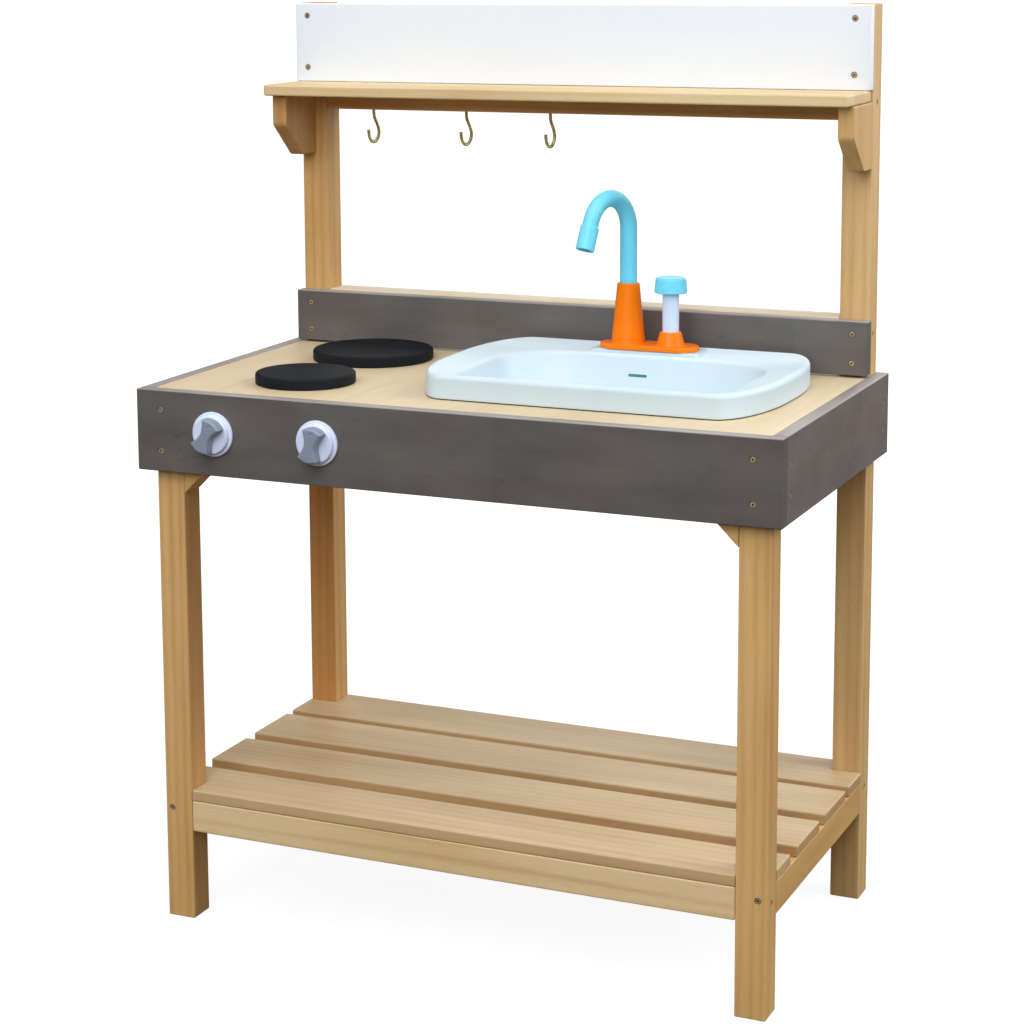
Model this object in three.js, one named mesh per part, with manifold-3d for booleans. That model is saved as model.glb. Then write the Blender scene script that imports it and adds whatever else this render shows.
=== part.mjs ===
// A child's outdoor mud kitchen: a timber frame with a boxed worktop, a plastic basin with a
// hand-pumped tap, two hob discs, two turning knobs, a slatted lower shelf and an upper shelf
// with utensil hooks.
// Millimetres, +X to the right, +Y to the back, +Z up. The origin is on the floor, at the
// middle of the whole box. Inside the layout group Y is counted from the tray's front face.

import * as THREE from 'three';
import { mergeVertices } from 'three/addons/utils/BufferGeometryUtils.js';
import Module from 'manifold-3d';

const wasm = await Module();
wasm.setup();

// Overall frame
const trayWidth = 720;
const frameDepth = 398;
const worktopHeight = 598;
const postRise = 402;     // from the worktop's height to the posts' tops

// Clearances
const seatGap = 0.3;      // between two pieces that rest on each other
const runningGap = 0.3;   // round a shaft that turns or slides
const overrun = 2;        // how far a cutter runs past the face that it cuts

// Timber
const legWidth = 33;
const legDepth = 33;
const edgeRadius = 1.8;
const trayBoardThickness = 14.7;
const trayBoardHeight = 89;
const sideBoardSetback = 2;

// Worktop
const panelThickness = 9;
const panelDrop = 0.5;
const battenWidth = 15;
const battenHeight = 20;

// Corner blocks
const blockSide = 60;
const blockDropBelowTray = 25.5;

// Lower shelf
const lowerRailBottom = 101.3;
const lowerRailHeight = 35;
const sideRailThickness = 17;
const slatThickness = 12;
const slatOverhang = 0.6;
const slatStartShares = [0, 0.2679, 0.5326, 0.7822];   // of the way from the front legs' faces to the back
const slatEndShares = [0.2037, 0.4799, 0.7441, 1];

// Backsplash and middle rail
const backsplashLift = 2;        // from the tray's top edge to the board
const backsplashHeight = 59.8;
const backsplashOverhang = 2.8;
const middleRailHeight = 35;
const middleRailStand = 1.2;

// Upper rail, shelf, brackets and header
const upperRailDrop = 124.5;     // from the posts' tops to the rail's lower face
const upperRailHeight = 35;
const shelfDrop = 104.3;         // from the posts' tops to the shelf's lower face
const shelfThickness = 12.5;
const shelfDepth = 92;
const shelfOverhang = 0.4;
const shelfShift = -2.2;
const shelfCorner = 5;
const headerThickness = 12.2;
const headerGapToTop = 0.6;
const headerClearance = 2;
const bracketThickness = 18;
const bracketDepth = 74;
const bracketHeight = 72;
const bracketFaceHeight = 34.6;
const bracketFootDepth = 31.7;
const bracketCorner = 5;
const timberBevel = 1.2;

// Hooks
const hookPlaceShares = [-0.8293, -0.4459, -0.1091];   // of the half rail
const hookTurns = [-25, -22, -55];
const hookWire = 3.2;
const hookDrop = 39;
const hookReach = 6.1;
const hookShares = [
  [0, 0.26], [0, 0.1], [0, -0.16], [0.16, -0.3], [0.6, -0.45], [0.95, -0.62], [0.92, -0.8],
  [0.45, -0.95], [-0.15, -1], [-0.7, -0.92], [-0.98, -0.78], [-1.03, -0.64],
];

// Hob discs
const hobThickness = 12;
const hobEdge = 3;
const smallHobDiameter = 109.5;
const largeHobDiameter = 138;
const hobEndShare = 0.4066;      // of the free width, left of the hobs
const hobFrontShare = 0.3869;    // of the free depth, before the small hob
const hobBackShare = 0.1154;     // of the free depth, behind the large hob
const hobSides = 40;

// Knobs
const knobPlaceShares = [-0.8514, -0.4521];   // of the half width between the legs
const knobRestTurns = [29, 12];
const knobDrop = 43;             // from the tray's top edge to the knobs' axes
const flangeDiameter = 48.4;
const flangeThickness = 3;
const dialDiameter = 41.5;
const dialThickness = 5;
const dialBevel = 1.2;
const gripLength = 37.5;
const gripEndAngle = 37;
const gripWaist = 12.5;
const gripHeight = 12.2;
const gripBevel = 1.4;
const spindleDiameter = 6;
const spindleSocketDepth = 5;
const spindleHeadDiameter = 16;
const spindleHeadThickness = 3;

// Basin
const basinWidth = 386;
const basinEndShare = 0.2048;    // of the free width, right of the basin
const basinFrontRoom = 48.4;     // from the panel's front edge
const basinBackRoom = 13;        // to the backsplash
const basinCornerShares = [0.23, 0.88];      // of half the basin's width and of half its depth
const basinRimHeight = 26.2;
const basinWall = 3;
const rimEdge = 4.5;
const rimTopWidth = 11;
const bowlSideMargin = 40;
const bowlFrontMargin = 20;
const bowlBackMargin = 54;
const bowlFrontCorner = [45, 45];
const bowlRearCorner = [84, 62];
const bowlLipDrop = 5;
const bowlDepth = 92;
const bowlDraft = 26;
const bowlFillet = 14;
const loopCornerSteps = 8;
const tapDeckHeight = 8.5;
const slotWidth = 20.5;
const slotHeight = 3.2;
const slotDrop = 26;
const cutOutSideRoom = 17;
const cutOutFrontRoom = 11;
const cutOutBackRoom = 9;
const cutOutCorner = 46;
const cutOutSteps = 4;
const slotSteps = 3;

// Tap base
const tapShift = -3.8;       // from the middle of the basin
const tapBack = 31.3;        // from the basin's rear edge to the line of the two cones
const tapSpacing = 49.4;
const plateLength = 113;
const plateWidth = 41;
const plateThickness = 5;
const plateBevel = 1.2;
const tallConeHeight = 67;
const tallConeTop = 24.5;
const tallConeBottom = 37.6;
const smallConeHeight = 15;
const smallConeTop = 23.2;
const smallConeBottom = 31.5;
const shankDiameter = 24;
const shankLength = 18;
const waterWay = 12;
const spoutSeat = 8;
const nutAcross = 36;
const nutCorners = 6;
const nutThickness = 7;
const shankSides = 24;

// Spout
const spoutDiameter = 18.8;
const spoutBore = 13;
const spoutBendHeight = 127.6;    // from the plate's top to the start of the bend
const spoutBendRadius = 35.5;
const spoutBendAngle = 159;
const spoutTail = 17.2;          // straight end of the tube, after the bend
const spoutRestTurn = -15.8;
const nozzlePlace = 5.2;         // from the end of the bend to the nozzle
const nozzleLength = 26.7;
const nozzleFlare = 4;
const nozzleStartDiameter = 20.4;
const nozzleEndDiameter = 21.2;
const nozzleBore = 14;
const nozzleLip = 1;
const nozzleSides = 24;
const tubeSteps = 30;

// Pump
const stemDiameter = 18.3;
const stemRise = 43;             // stem that shows between the small cone and the cap
const capHeight = 17.2;
const capBottomDiameter = 36;
const capTopDiameter = 33;
const capEdge = 3;
const capSocketDepth = 12;
const capSides = 28;
const pistonDiameter = 20.4;
const pistonThickness = 5;
const barrelBore = 21.2;
const barrelWall = 2.2;
const barrelLength = 56;
const barrelSides = 24;
const springTurns = 7;
const springWire = 1.6;
const springDiameter = 15.5;
const springStepsPerTurn = 8;
const hoseDiameter = 8;
const hoseBore = 5;
const hoseLowest = 34;           // from the shank's end down to the hose's lowest run
const hoseBendShares = [1.4, 0.45];          // of the hose's diameter, round its elbow
const hoseSteps = 22;

// Facets
const cornerSteps = 2;
const roundSides = 32;
const tubeSides = 16;
const boreSides = 10;
const hoseSides = 6;

// Places worked out from the sizes above
const frameHeight = worktopHeight + postRise;
const legOuter = trayWidth / 2 - trayBoardThickness - seatGap;
const legInner = legOuter - legWidth;
const legFront = trayBoardThickness + seatGap;
const legBack = legFront + legDepth;
const postFront = frameDepth - legDepth;
const betweenLegs = legInner - seatGap;
const trayBottom = worktopHeight - trayBoardHeight;
const panelTop = worktopHeight - panelDrop;
const panelBottom = panelTop - panelThickness;
const postFace = postFront - seatGap;
const slatRun = frameDepth - legFront;
const knobHeight = worktopHeight - knobDrop;
const knobPlaces = knobPlaceShares.map((share) => share * legInner);
const lowerRailTop = lowerRailBottom + lowerRailHeight;
const slatBottom = lowerRailTop + seatGap;
const backsplashBottom = worktopHeight + backsplashLift;
const backsplashFront = postFace - trayBoardThickness;
const upperRailBottom = frameHeight - upperRailDrop;
const hookPlaces = hookPlaceShares.map((share) => share * betweenLegs);
const shelfBottom = frameHeight - shelfDrop;
const shelfTop = shelfBottom + shelfThickness;
const freeWidth = 2 * legOuter - largeHobDiameter - basinWidth;
const freeDepth = backsplashFront - legFront - smallHobDiameter - largeHobDiameter;
const hobX = -legOuter + hobEndShare * freeWidth + largeHobDiameter / 2;
const smallHobY = legFront + hobFrontShare * freeDepth + smallHobDiameter / 2;
const largeHobY = backsplashFront - hobBackShare * freeDepth - largeHobDiameter / 2;
const basinX = legOuter - basinEndShare * freeWidth - basinWidth / 2;
const basinFront = legFront + basinFrontRoom;
const basinRear = backsplashFront - basinBackRoom;
const basinBase = panelTop + seatGap;
const rimTop = panelTop + basinRimHeight;
const tapDeckTop = rimTop;
const tapY = basinRear - tapBack;
const tapX = basinX + tapShift;
const spoutX = tapX - tapSpacing / 2;
const pumpX = tapX + tapSpacing / 2;
const plateBottom = tapDeckTop + seatGap;
const plateTop = plateBottom + plateThickness;
const shankEnd = plateBottom - shankLength;
const deckUnderside = tapDeckTop - tapDeckHeight;
const knobProud = seatGap + flangeThickness + dialThickness + seatGap + gripHeight;

// Finishes
function finish(color, roughness, metalness = 0) {
  return new THREE.MeshStandardMaterial({ color, roughness, metalness });
}

const legWood = finish(0xb8925f, 0.6);
const slatWood = finish(0xc9b088, 0.6);
const plywood = finish(0xe6d4b4, 0.55);
const stainedWood = finish(0x5f5a57, 0.65);
const whitePaint = finish(0xeef2f6, 0.5);
const blackWood = finish(0x1e2124, 0.6);
const brassPlate = finish(0x8c8458, 0.3, 0.9);
const basinPlastic = finish(0xdcebf3, 0.3);
const orangePlastic = finish(0xff820f, 0.35);
const bluePlastic = finish(0x69cde6, 0.35);
const stemPlastic = finish(0xd3d8f0, 0.35);
const dialPlastic = finish(0xdde2f5, 0.35);
const gripPlastic = finish(0x7d8796, 0.4);
const innerPlastic = finish(0xd0d4d8, 0.4);
const springSteel = finish(0xb4b6b8, 0.3, 1);

// The scene graph
const kitchen = new THREE.Group();
const layout = new THREE.Group();
layout.position.y = -(frameDepth - knobProud) / 2;
kitchen.add(layout);

function addPiece(name, geometry, material, place = [0, 0, 0], parent = layout) {
  const piece = new THREE.Mesh(geometry, material.clone());
  piece.name = name;
  piece.position.set(...place);
  parent.add(piece);
  return piece;
}

// Solids for cutting and joining
function toSolid(geometry) {
  const bare = geometry.clone();
  bare.deleteAttribute('normal');
  bare.deleteAttribute('uv');
  const merged = mergeVertices(bare);
  const vertProperties = Float32Array.from(merged.attributes.position.array);
  const triVerts = Uint32Array.from(merged.index.array);
  return new wasm.Manifold(new wasm.Mesh({ numProp: 3, vertProperties, triVerts }));
}

function toGeometry(solid) {
  const mesh = solid.getMesh();
  const geometry = new THREE.BufferGeometry();
  geometry.setAttribute('position', new THREE.BufferAttribute(mesh.vertProperties, mesh.numProp));
  geometry.setIndex(new THREE.BufferAttribute(mesh.triVerts, 1));
  geometry.computeVertexNormals();
  return geometry;
}

function cut(geometry, cutters) {
  const solid = cutters.reduce((rest, cutter) => rest.subtract(toSolid(cutter)), toSolid(geometry));
  return toGeometry(solid);
}

function join(geometries) {
  const [first, ...others] = geometries.map(toSolid);
  return toGeometry(others.reduce((whole, next) => whole.add(next), first));
}

// Outlines
function roundedRectangle(width, height, radius) {
  const x = width / 2 - radius;
  const y = height / 2 - radius;
  const shape = new THREE.Shape();
  shape.absarc(x, y, radius, 0, Math.PI / 2);
  shape.absarc(-x, y, radius, Math.PI / 2, Math.PI);
  shape.absarc(-x, -y, radius, Math.PI, Math.PI * 1.5);
  shape.absarc(x, -y, radius, Math.PI * 1.5, Math.PI * 2);
  return shape;
}

function ringOutline(outerRadius, innerRadius, boreCorners) {
  const shape = new THREE.Shape();
  shape.absarc(0, 0, outerRadius, 0, Math.PI * 2);
  const corners = Array.from({ length: boreCorners }, (_, i) => {
    const angle = -2 * Math.PI * i / boreCorners;
    return new THREE.Vector2(innerRadius * Math.cos(angle), innerRadius * Math.sin(angle));
  });
  shape.holes.push(new THREE.Path(corners));
  return shape;
}

function polygonShape(points) {
  return new THREE.Shape(points.map(([x, y]) => new THREE.Vector2(x, y)));
}

function extruded(shape, depth, steps = cornerSteps) {
  return new THREE.ExtrudeGeometry(shape, { depth, bevelEnabled: false, curveSegments: steps });
}

// A slab whose edges are eased all round, from z = 0 to z = thickness
function easedSlab(shape, thickness, bevel, steps = cornerSteps) {
  const slab = new THREE.ExtrudeGeometry(shape, {
    depth: thickness - 2 * bevel,
    bevelThickness: bevel,
    bevelSize: bevel,
    bevelOffset: -bevel,
    bevelSegments: 2,
    curveSegments: steps,
  });
  slab.translate(0, 0, bevel);
  return slab;
}

function turned(profile, sides = roundSides) {
  const lathe = new THREE.LatheGeometry(profile.map(([r, z]) => new THREE.Vector2(r, z)), sides);
  lathe.rotateX(Math.PI / 2);
  return lathe;
}

function rod(radius, bottom, top, sides = roundSides) {
  const cylinder = new THREE.CylinderGeometry(radius, radius, top - bottom, sides);
  cylinder.rotateX(Math.PI / 2);
  cylinder.translate(0, 0, (top + bottom) / 2);
  return cylinder;
}

function cone(bottomRadius, topRadius, bottom, top) {
  const body = new THREE.CylinderGeometry(topRadius, bottomRadius, top - bottom, roundSides);
  body.rotateX(Math.PI / 2);
  body.translate(0, 0, (top + bottom) / 2);
  return body;
}

// A timber between two corners of its box, its long edges eased along one axis
function timberGeometry(low, high, along) {
  const [x, y, z] = [0, 1, 2].map((i) => high[i] - low[i]);
  const sections = { x: [z, y, x], y: [x, z, y], z: [x, y, z] };
  const [width, height, length] = sections[along];
  const bar = extruded(roundedRectangle(width, height, edgeRadius), length);
  bar.translate(0, 0, -length / 2);
  if (along === 'x') bar.rotateY(Math.PI / 2);
  if (along === 'y') bar.rotateX(Math.PI / 2);
  bar.translate(...[0, 1, 2].map((i) => (high[i] + low[i]) / 2));
  return bar;
}

function addTimber(name, material, low, high, along) {
  return addPiece(name, timberGeometry(low, high, along), material);
}

// Legs and posts
function buildLegs() {
  for (const [side, sign] of [['left', -1], ['right', 1]]) {
    const near = Math.min(sign * legOuter, sign * legInner);
    const far = Math.max(sign * legOuter, sign * legInner);
    const frontLegTop = panelBottom - seatGap;
    addTimber(`front_leg_${side}`, legWood, [near, legFront, 0], [far, legBack, frontLegTop], 'z');
    addTimber(`rear_post_${side}`, legWood, [near, postFront, 0], [far, frameDepth, frameHeight], 'z');
  }
}

// The stained tray round the worktop; the front board is bored for the two knob spindles
function buildTray() {
  const half = trayWidth / 2;
  const front = timberGeometry([-half, 0, trayBottom], [half, trayBoardThickness, worktopHeight], 'x');
  const bores = knobPlaces.map((x) => {
    const bore = rod(spindleDiameter / 2 + runningGap, -overrun, trayBoardThickness + overrun, tubeSides);
    bore.rotateX(-Math.PI / 2);
    bore.translate(x, 0, knobHeight);
    return bore;
  });
  addPiece('tray_front_board', cut(front, bores), stainedWood);
  const sideEnd = frameDepth - sideBoardSetback;
  const inner = legOuter + seatGap;
  addTimber('tray_side_board_left', stainedWood, [-half, legFront, trayBottom],
    [-inner, sideEnd, worktopHeight], 'y');
  addTimber('tray_side_board_right', stainedWood, [inner, legFront, trayBottom],
    [half, sideEnd, worktopHeight], 'y');
  const rearInner = frameDepth - trayBoardThickness;
  addTimber('tray_rear_board', stainedWood, [-betweenLegs, rearInner, trayBottom],
    [betweenLegs, frameDepth, worktopHeight], 'x');
}

// The plywood panel: notched round the rear posts and cut out under the basin's rim
function buildPanel() {
  const side = legOuter;
  const back = frameDepth - trayBoardThickness - seatGap;
  const outline = polygonShape([
    [-side, legFront], [side, legFront], [side, postFace], [betweenLegs, postFace],
    [betweenLegs, back], [-betweenLegs, back], [-betweenLegs, postFace], [-side, postFace],
  ]);
  const left = basinX - basinWidth / 2 + cutOutSideRoom;
  const right = basinX + basinWidth / 2 - cutOutSideRoom;
  const front = basinFront + cutOutFrontRoom;
  const rear = basinRear - cutOutBackRoom;
  const opening = extruded(roundedRectangle(right - left, rear - front, cutOutCorner),
    panelThickness + 2 * overrun, cutOutSteps);
  opening.translate((left + right) / 2, (front + rear) / 2, -overrun);
  const panel = cut(extruded(outline, panelThickness), [opening]);
  addPiece('worktop_panel', panel, plywood, [0, 0, panelBottom]);
  const battenTop = panelBottom - seatGap;
  for (const [name, sign] of [['left', -1], ['right', 1]]) {
    const outer = sign * legOuter;
    const inner = sign * (legOuter - battenWidth);
    addTimber(`panel_batten_${name}`, legWood,
      [Math.min(outer, inner), legBack + seatGap, battenTop - battenHeight],
      [Math.max(outer, inner), postFace, battenTop], 'y');
  }
}

// Triangular blocks in the corners between the legs and the tray
function buildCornerBlocks() {
  const frontDepth = legDepth;
  const rearDepth = legDepth - trayBoardThickness - seatGap;
  const foot = trayBottom - blockDropBelowTray;
  const rows = [['front', legFront, frontDepth], ['rear', postFront, rearDepth]];
  for (const [row, y, depth] of rows) {
    for (const [side, sign] of [['left', -1], ['right', 1]]) {
      const shape = polygonShape(sign < 0
        ? [[0, 0], [blockSide, blockSide], [0, blockSide]]
        : [[0, 0], [0, blockSide], [-blockSide, blockSide]]);
      const block = extruded(shape, depth);
      block.rotateX(Math.PI / 2);
      block.translate(sign * betweenLegs, y + depth, foot);
      addPiece(`corner_block_${row}_${side}`, block, legWood);
    }
  }
}

// Lower rails between the legs, and the slats on them
function buildLowerShelf() {
  const low = lowerRailBottom;
  const high = lowerRailTop;
  addTimber('lower_rail_front', legWood, [-betweenLegs, legFront, low], [betweenLegs, legBack, high], 'x');
  addTimber('lower_rail_rear', legWood, [-betweenLegs, postFront, low], [betweenLegs, frameDepth, high], 'x');
  const inner = legOuter - sideRailThickness;
  const from = legBack + seatGap;
  addTimber('lower_rail_left', legWood, [-legOuter, from, low], [-inner, postFace, high], 'y');
  addTimber('lower_rail_right', legWood, [inner, from, low], [legOuter, postFace, high], 'y');
  const end = legOuter + slatOverhang;
  const names = ['shelf_slat_front', 'shelf_slat_second', 'shelf_slat_third', 'shelf_slat_rear'];
  names.forEach((name, i) => {
    const [start, stop] = [slatStartShares[i], slatEndShares[i]].map((share) => legFront + share * slatRun);
    const notchedFront = start < legBack;
    const notchedBack = stop > postFront;
    const neck = [notchedFront ? legBack + seatGap : start, notchedBack ? postFace : stop];
    const points = [];
    if (notchedFront) points.push([-betweenLegs, start], [betweenLegs, start], [betweenLegs, neck[0]]);
    points.push([end, neck[0]], [end, neck[1]]);
    if (notchedBack) {
      points.push([betweenLegs, neck[1]], [betweenLegs, stop]);
      points.push([-betweenLegs, stop], [-betweenLegs, neck[1]]);
    }
    points.push([-end, neck[1]], [-end, neck[0]]);
    if (notchedFront) points.push([-betweenLegs, neck[0]]);
    const slat = easedSlab(polygonShape(points), slatThickness, timberBevel);
    addPiece(name, slat, slatWood, [0, 0, slatBottom]);
  });
}

// Backsplash in front of the posts, and the rail between the posts behind it
function buildBacksplash() {
  const half = legOuter + backsplashOverhang;
  const top = backsplashBottom + backsplashHeight;
  addTimber('backsplash_board', stainedWood, [-half, backsplashFront, backsplashBottom],
    [half, postFace, top], 'x');
  const railTop = top + middleRailStand;
  addTimber('middle_rail', legWood, [-betweenLegs, postFront, railTop - middleRailHeight],
    [betweenLegs, frameDepth, railTop], 'x');
}

// One bracket seen from the side: a straight face, a sloping cut and a flat foot
function bracketGeometry() {
  const nose = bracketHeight - bracketFaceHeight;
  const slope = Math.hypot(bracketDepth - bracketFootDepth, nose);
  const along = (bracketDepth - bracketFootDepth) / slope * bracketCorner;
  const down = nose / slope * bracketCorner;
  const shape = new THREE.Shape();
  shape.moveTo(0, 0);
  shape.lineTo(-bracketDepth, 0);
  shape.lineTo(-bracketDepth, bracketCorner - bracketFaceHeight);
  shape.quadraticCurveTo(-bracketDepth, -bracketFaceHeight, along - bracketDepth, -bracketFaceHeight - down);
  shape.lineTo(-bracketFootDepth - along, down - bracketHeight);
  shape.quadraticCurveTo(-bracketFootDepth, -bracketHeight, bracketCorner - bracketFootDepth, -bracketHeight);
  shape.lineTo(0, -bracketHeight);
  const bracket = easedSlab(shape, bracketThickness, timberBevel, 3);
  bracket.translate(0, 0, -bracketThickness / 2);
  bracket.rotateY(Math.PI / 2);
  bracket.rotateX(Math.PI / 2);
  return bracket;
}

// The shelf's outline has a point at each end where the header board's front edge crosses it
function shelfOutline() {
  const x = legOuter + shelfOverhang;
  const y = shelfDepth / 2;
  const headerLine = y - headerThickness - headerClearance;
  const shape = new THREE.Shape();
  shape.moveTo(x, -y + shelfCorner);
  shape.lineTo(x, headerLine);
  shape.absarc(x - shelfCorner, y - shelfCorner, shelfCorner, 0, Math.PI / 2);
  shape.absarc(-x + shelfCorner, y - shelfCorner, shelfCorner, Math.PI / 2, Math.PI);
  shape.lineTo(-x, headerLine);
  shape.absarc(-x + shelfCorner, -y + shelfCorner, shelfCorner, Math.PI, Math.PI * 1.5);
  shape.absarc(x - shelfCorner, -y + shelfCorner, shelfCorner, Math.PI * 1.5, Math.PI * 2);
  return shape;
}

// Upper rail (bored for the hooks), shelf, brackets and header board
function buildUpperShelf() {
  const rail = timberGeometry([-betweenLegs, postFront, upperRailBottom],
    [betweenLegs, frameDepth, upperRailBottom + upperRailHeight], 'x');
  const hookHole = hookWire / 2 + runningGap;
  const holes = hookPlaces.map((x) => {
    const hole = rod(hookHole, -overrun, hookShares[0][1] * hookDrop + seatGap, boreSides);
    hole.translate(x, postFront + legDepth / 2, upperRailBottom);
    return hole;
  });
  addPiece('upper_rail', cut(rail, holes), legWood);

  const shelf = easedSlab(shelfOutline(), shelfThickness, timberBevel);
  addPiece('upper_shelf', shelf, legWood, [shelfShift, postFace - shelfDepth / 2, shelfBottom]);

  const bracketX = legOuter - bracketThickness / 2;
  const bracketTop = shelfBottom - seatGap;
  addPiece('shelf_bracket_left', bracketGeometry(), legWood, [-bracketX, postFace, bracketTop]);
  addPiece('shelf_bracket_right', bracketGeometry(), legWood, [bracketX, postFace, bracketTop]);

  addTimber('header_board', whitePaint, [-legOuter, postFace - headerThickness, shelfTop + seatGap],
    [legOuter, postFace, frameHeight - headerGapToTop], 'x');
}

// A screw-in hook bent from one wire
function hookGeometry() {
  const points = hookShares.map(([out, up]) => new THREE.Vector3(out * hookReach, 0, up * hookDrop));
  const path = new THREE.CatmullRomCurve3(points);
  const wire = new THREE.Shape();
  wire.absarc(0, 0, hookWire / 2, 0, Math.PI * 2);
  return new THREE.ExtrudeGeometry(wire, { extrudePath: path, steps: 26, curveSegments: 4 });
}

function buildHooks() {
  hookPlaces.forEach((x, i) => {
    const hook = addPiece(`utensil_hook_${['left', 'middle', 'right'][i]}`, hookGeometry(), brassPlate,
      [x, postFront + legDepth / 2, upperRailBottom]);
    hook.rotation.z = THREE.MathUtils.degToRad(-hookTurns[i]);
  });
}

// Hob discs
function hobGeometry(diameter) {
  const r = diameter / 2;
  const soft = hobEdge * (1 - Math.SQRT1_2);
  return turned([
    [0, 0], [r - hobEdge / 2, 0], [r, hobEdge / 2], [r, hobThickness - hobEdge],
    [r - soft, hobThickness - soft], [r - hobEdge, hobThickness], [0, hobThickness],
  ], hobSides);
}

function buildHobs() {
  const z = panelTop + seatGap;
  addPiece('hob_disc_small', hobGeometry(smallHobDiameter), blackWood, [hobX, smallHobY, z]);
  addPiece('hob_disc_large', hobGeometry(largeHobDiameter), blackWood, [hobX, largeHobY, z]);
}

// Knobs: dial, grip and spindle, all built along +Z and then faced to the front
function dialGeometry() {
  const flange = flangeDiameter / 2;
  const dial = dialDiameter / 2;
  const bore = spindleDiameter / 2 + seatGap;
  const top = flangeThickness + dialThickness;
  return turned([
    [0, spindleSocketDepth], [bore, spindleSocketDepth], [bore, 0], [flange - dialBevel, 0],
    [flange, dialBevel], [flange, flangeThickness - dialBevel], [flange - dialBevel, flangeThickness],
    [dial + dialBevel, flangeThickness], [dial, top - dialBevel], [dial - dialBevel, top], [0, top],
  ], roundSides);
}

// The grip's outline: two round ends joined by hollow sides
function gripGeometry() {
  const radius = gripLength / 2;
  const half = THREE.MathUtils.degToRad(gripEndAngle);
  const cornerX = radius * Math.sin(half);
  const cornerY = radius * Math.cos(half);
  const pull = gripWaist - cornerX;
  const shape = new THREE.Shape();
  shape.absarc(0, 0, radius, Math.PI / 2 - half, Math.PI / 2 + half);
  shape.quadraticCurveTo(-pull, 0, -cornerX, -cornerY);
  shape.absarc(0, 0, radius, Math.PI * 1.5 - half, Math.PI * 1.5 + half);
  shape.quadraticCurveTo(pull, 0, cornerX, cornerY);
  return easedSlab(shape, gripHeight, gripBevel, 6);
}

function spindleGeometry() {
  const shaft = spindleDiameter / 2;
  const head = spindleHeadDiameter / 2;
  const tip = spindleSocketDepth - seatGap;
  const back = -2 * seatGap - trayBoardThickness;
  return turned([
    [0, back - spindleHeadThickness], [head, back - spindleHeadThickness], [head, back],
    [shaft, back], [shaft, tip], [0, tip],
  ], tubeSides);
}

function buildKnobs() {
  ['left', 'right'].forEach((side, i) => {
    const knob = new THREE.Group();
    knob.position.set(knobPlaces[i], -seatGap, knobHeight);
    knob.rotation.x = Math.PI / 2;
    layout.add(knob);
    addPiece(`knob_${side}_dial`, dialGeometry(), dialPlastic, [0, 0, 0], knob);
    addPiece(`knob_${side}_spindle`, spindleGeometry(), springSteel, [0, 0, 0], knob);
    const grip = addPiece(`knob_${side}_grip`, gripGeometry(), gripPlastic,
      [0, 0, flangeThickness + dialThickness + seatGap], knob);
    grip.rotation.z = THREE.MathUtils.degToRad(-knobRestTurns[i]);
  });
}

// The basin is lofted through loops: rectangles with long round corners
function loop(halfWidth, [front, back], frontCorner, rearCorner, z) {
  const points = [];
  const addCorner = ([along, across], side, y, start) => {
    const x = side * (halfWidth - along);
    for (let i = 0; i <= loopCornerSteps; i += 1) {
      const angle = (start + i / loopCornerSteps) * Math.PI / 2;
      points.push([x + along * Math.cos(angle), y + across * Math.sin(angle)]);
    }
  };
  points.push([0, front]);
  addCorner(frontCorner, 1, front + frontCorner[1], 3);
  addCorner(rearCorner, 1, back - rearCorner[1], 0);
  points.push([0, back]);
  addCorner(rearCorner, -1, back - rearCorner[1], 1);
  addCorner(frontCorner, -1, front + frontCorner[1], 2);
  return points.map(([px, py]) => new THREE.Vector3(basinX + px, py, z));
}

function rimLoop(inset, z) {
  const [alongShare, acrossShare] = basinCornerShares;
  const corner = [alongShare * basinWidth / 2 - inset, acrossShare * (basinRear - basinFront) / 2 - inset];
  return loop(basinWidth / 2 - inset, [basinFront + inset, basinRear - inset], corner, corner, z);
}

function bowlLoop(inset, z) {
  const eased = (corner) => corner.map((length) => length - inset / 2);
  const reach = [basinFront + bowlFrontMargin + inset, basinRear - bowlBackMargin - inset];
  const halfWidth = basinWidth / 2 - bowlSideMargin - inset;
  return loop(halfWidth, reach, eased(bowlFrontCorner), eased(bowlRearCorner), z);
}

function lofted(loops) {
  const count = loops[0].length;
  const middle = (ring) => ring.reduce((sum, p) => sum.add(p), new THREE.Vector3()).divideScalar(count);
  const points = [middle(loops[0]), ...loops.flat(), middle(loops[loops.length - 1])];
  const last = points.length - 1;
  const index = [];
  for (let j = 0; j < count; j += 1) {
    const next = (j + 1) % count;
    index.push(0, 1 + next, 1 + j);
    for (let i = 0; i < loops.length - 1; i += 1) {
      const a = 1 + i * count + j;
      const b = 1 + i * count + next;
      index.push(a, b, b + count, a, b + count, a + count);
    }
    const top = 1 + (loops.length - 1) * count;
    index.push(last, top + j, top + next);
  }
  const geometry = new THREE.BufferGeometry().setFromPoints(points);
  geometry.setIndex(index);
  return geometry;
}

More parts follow.
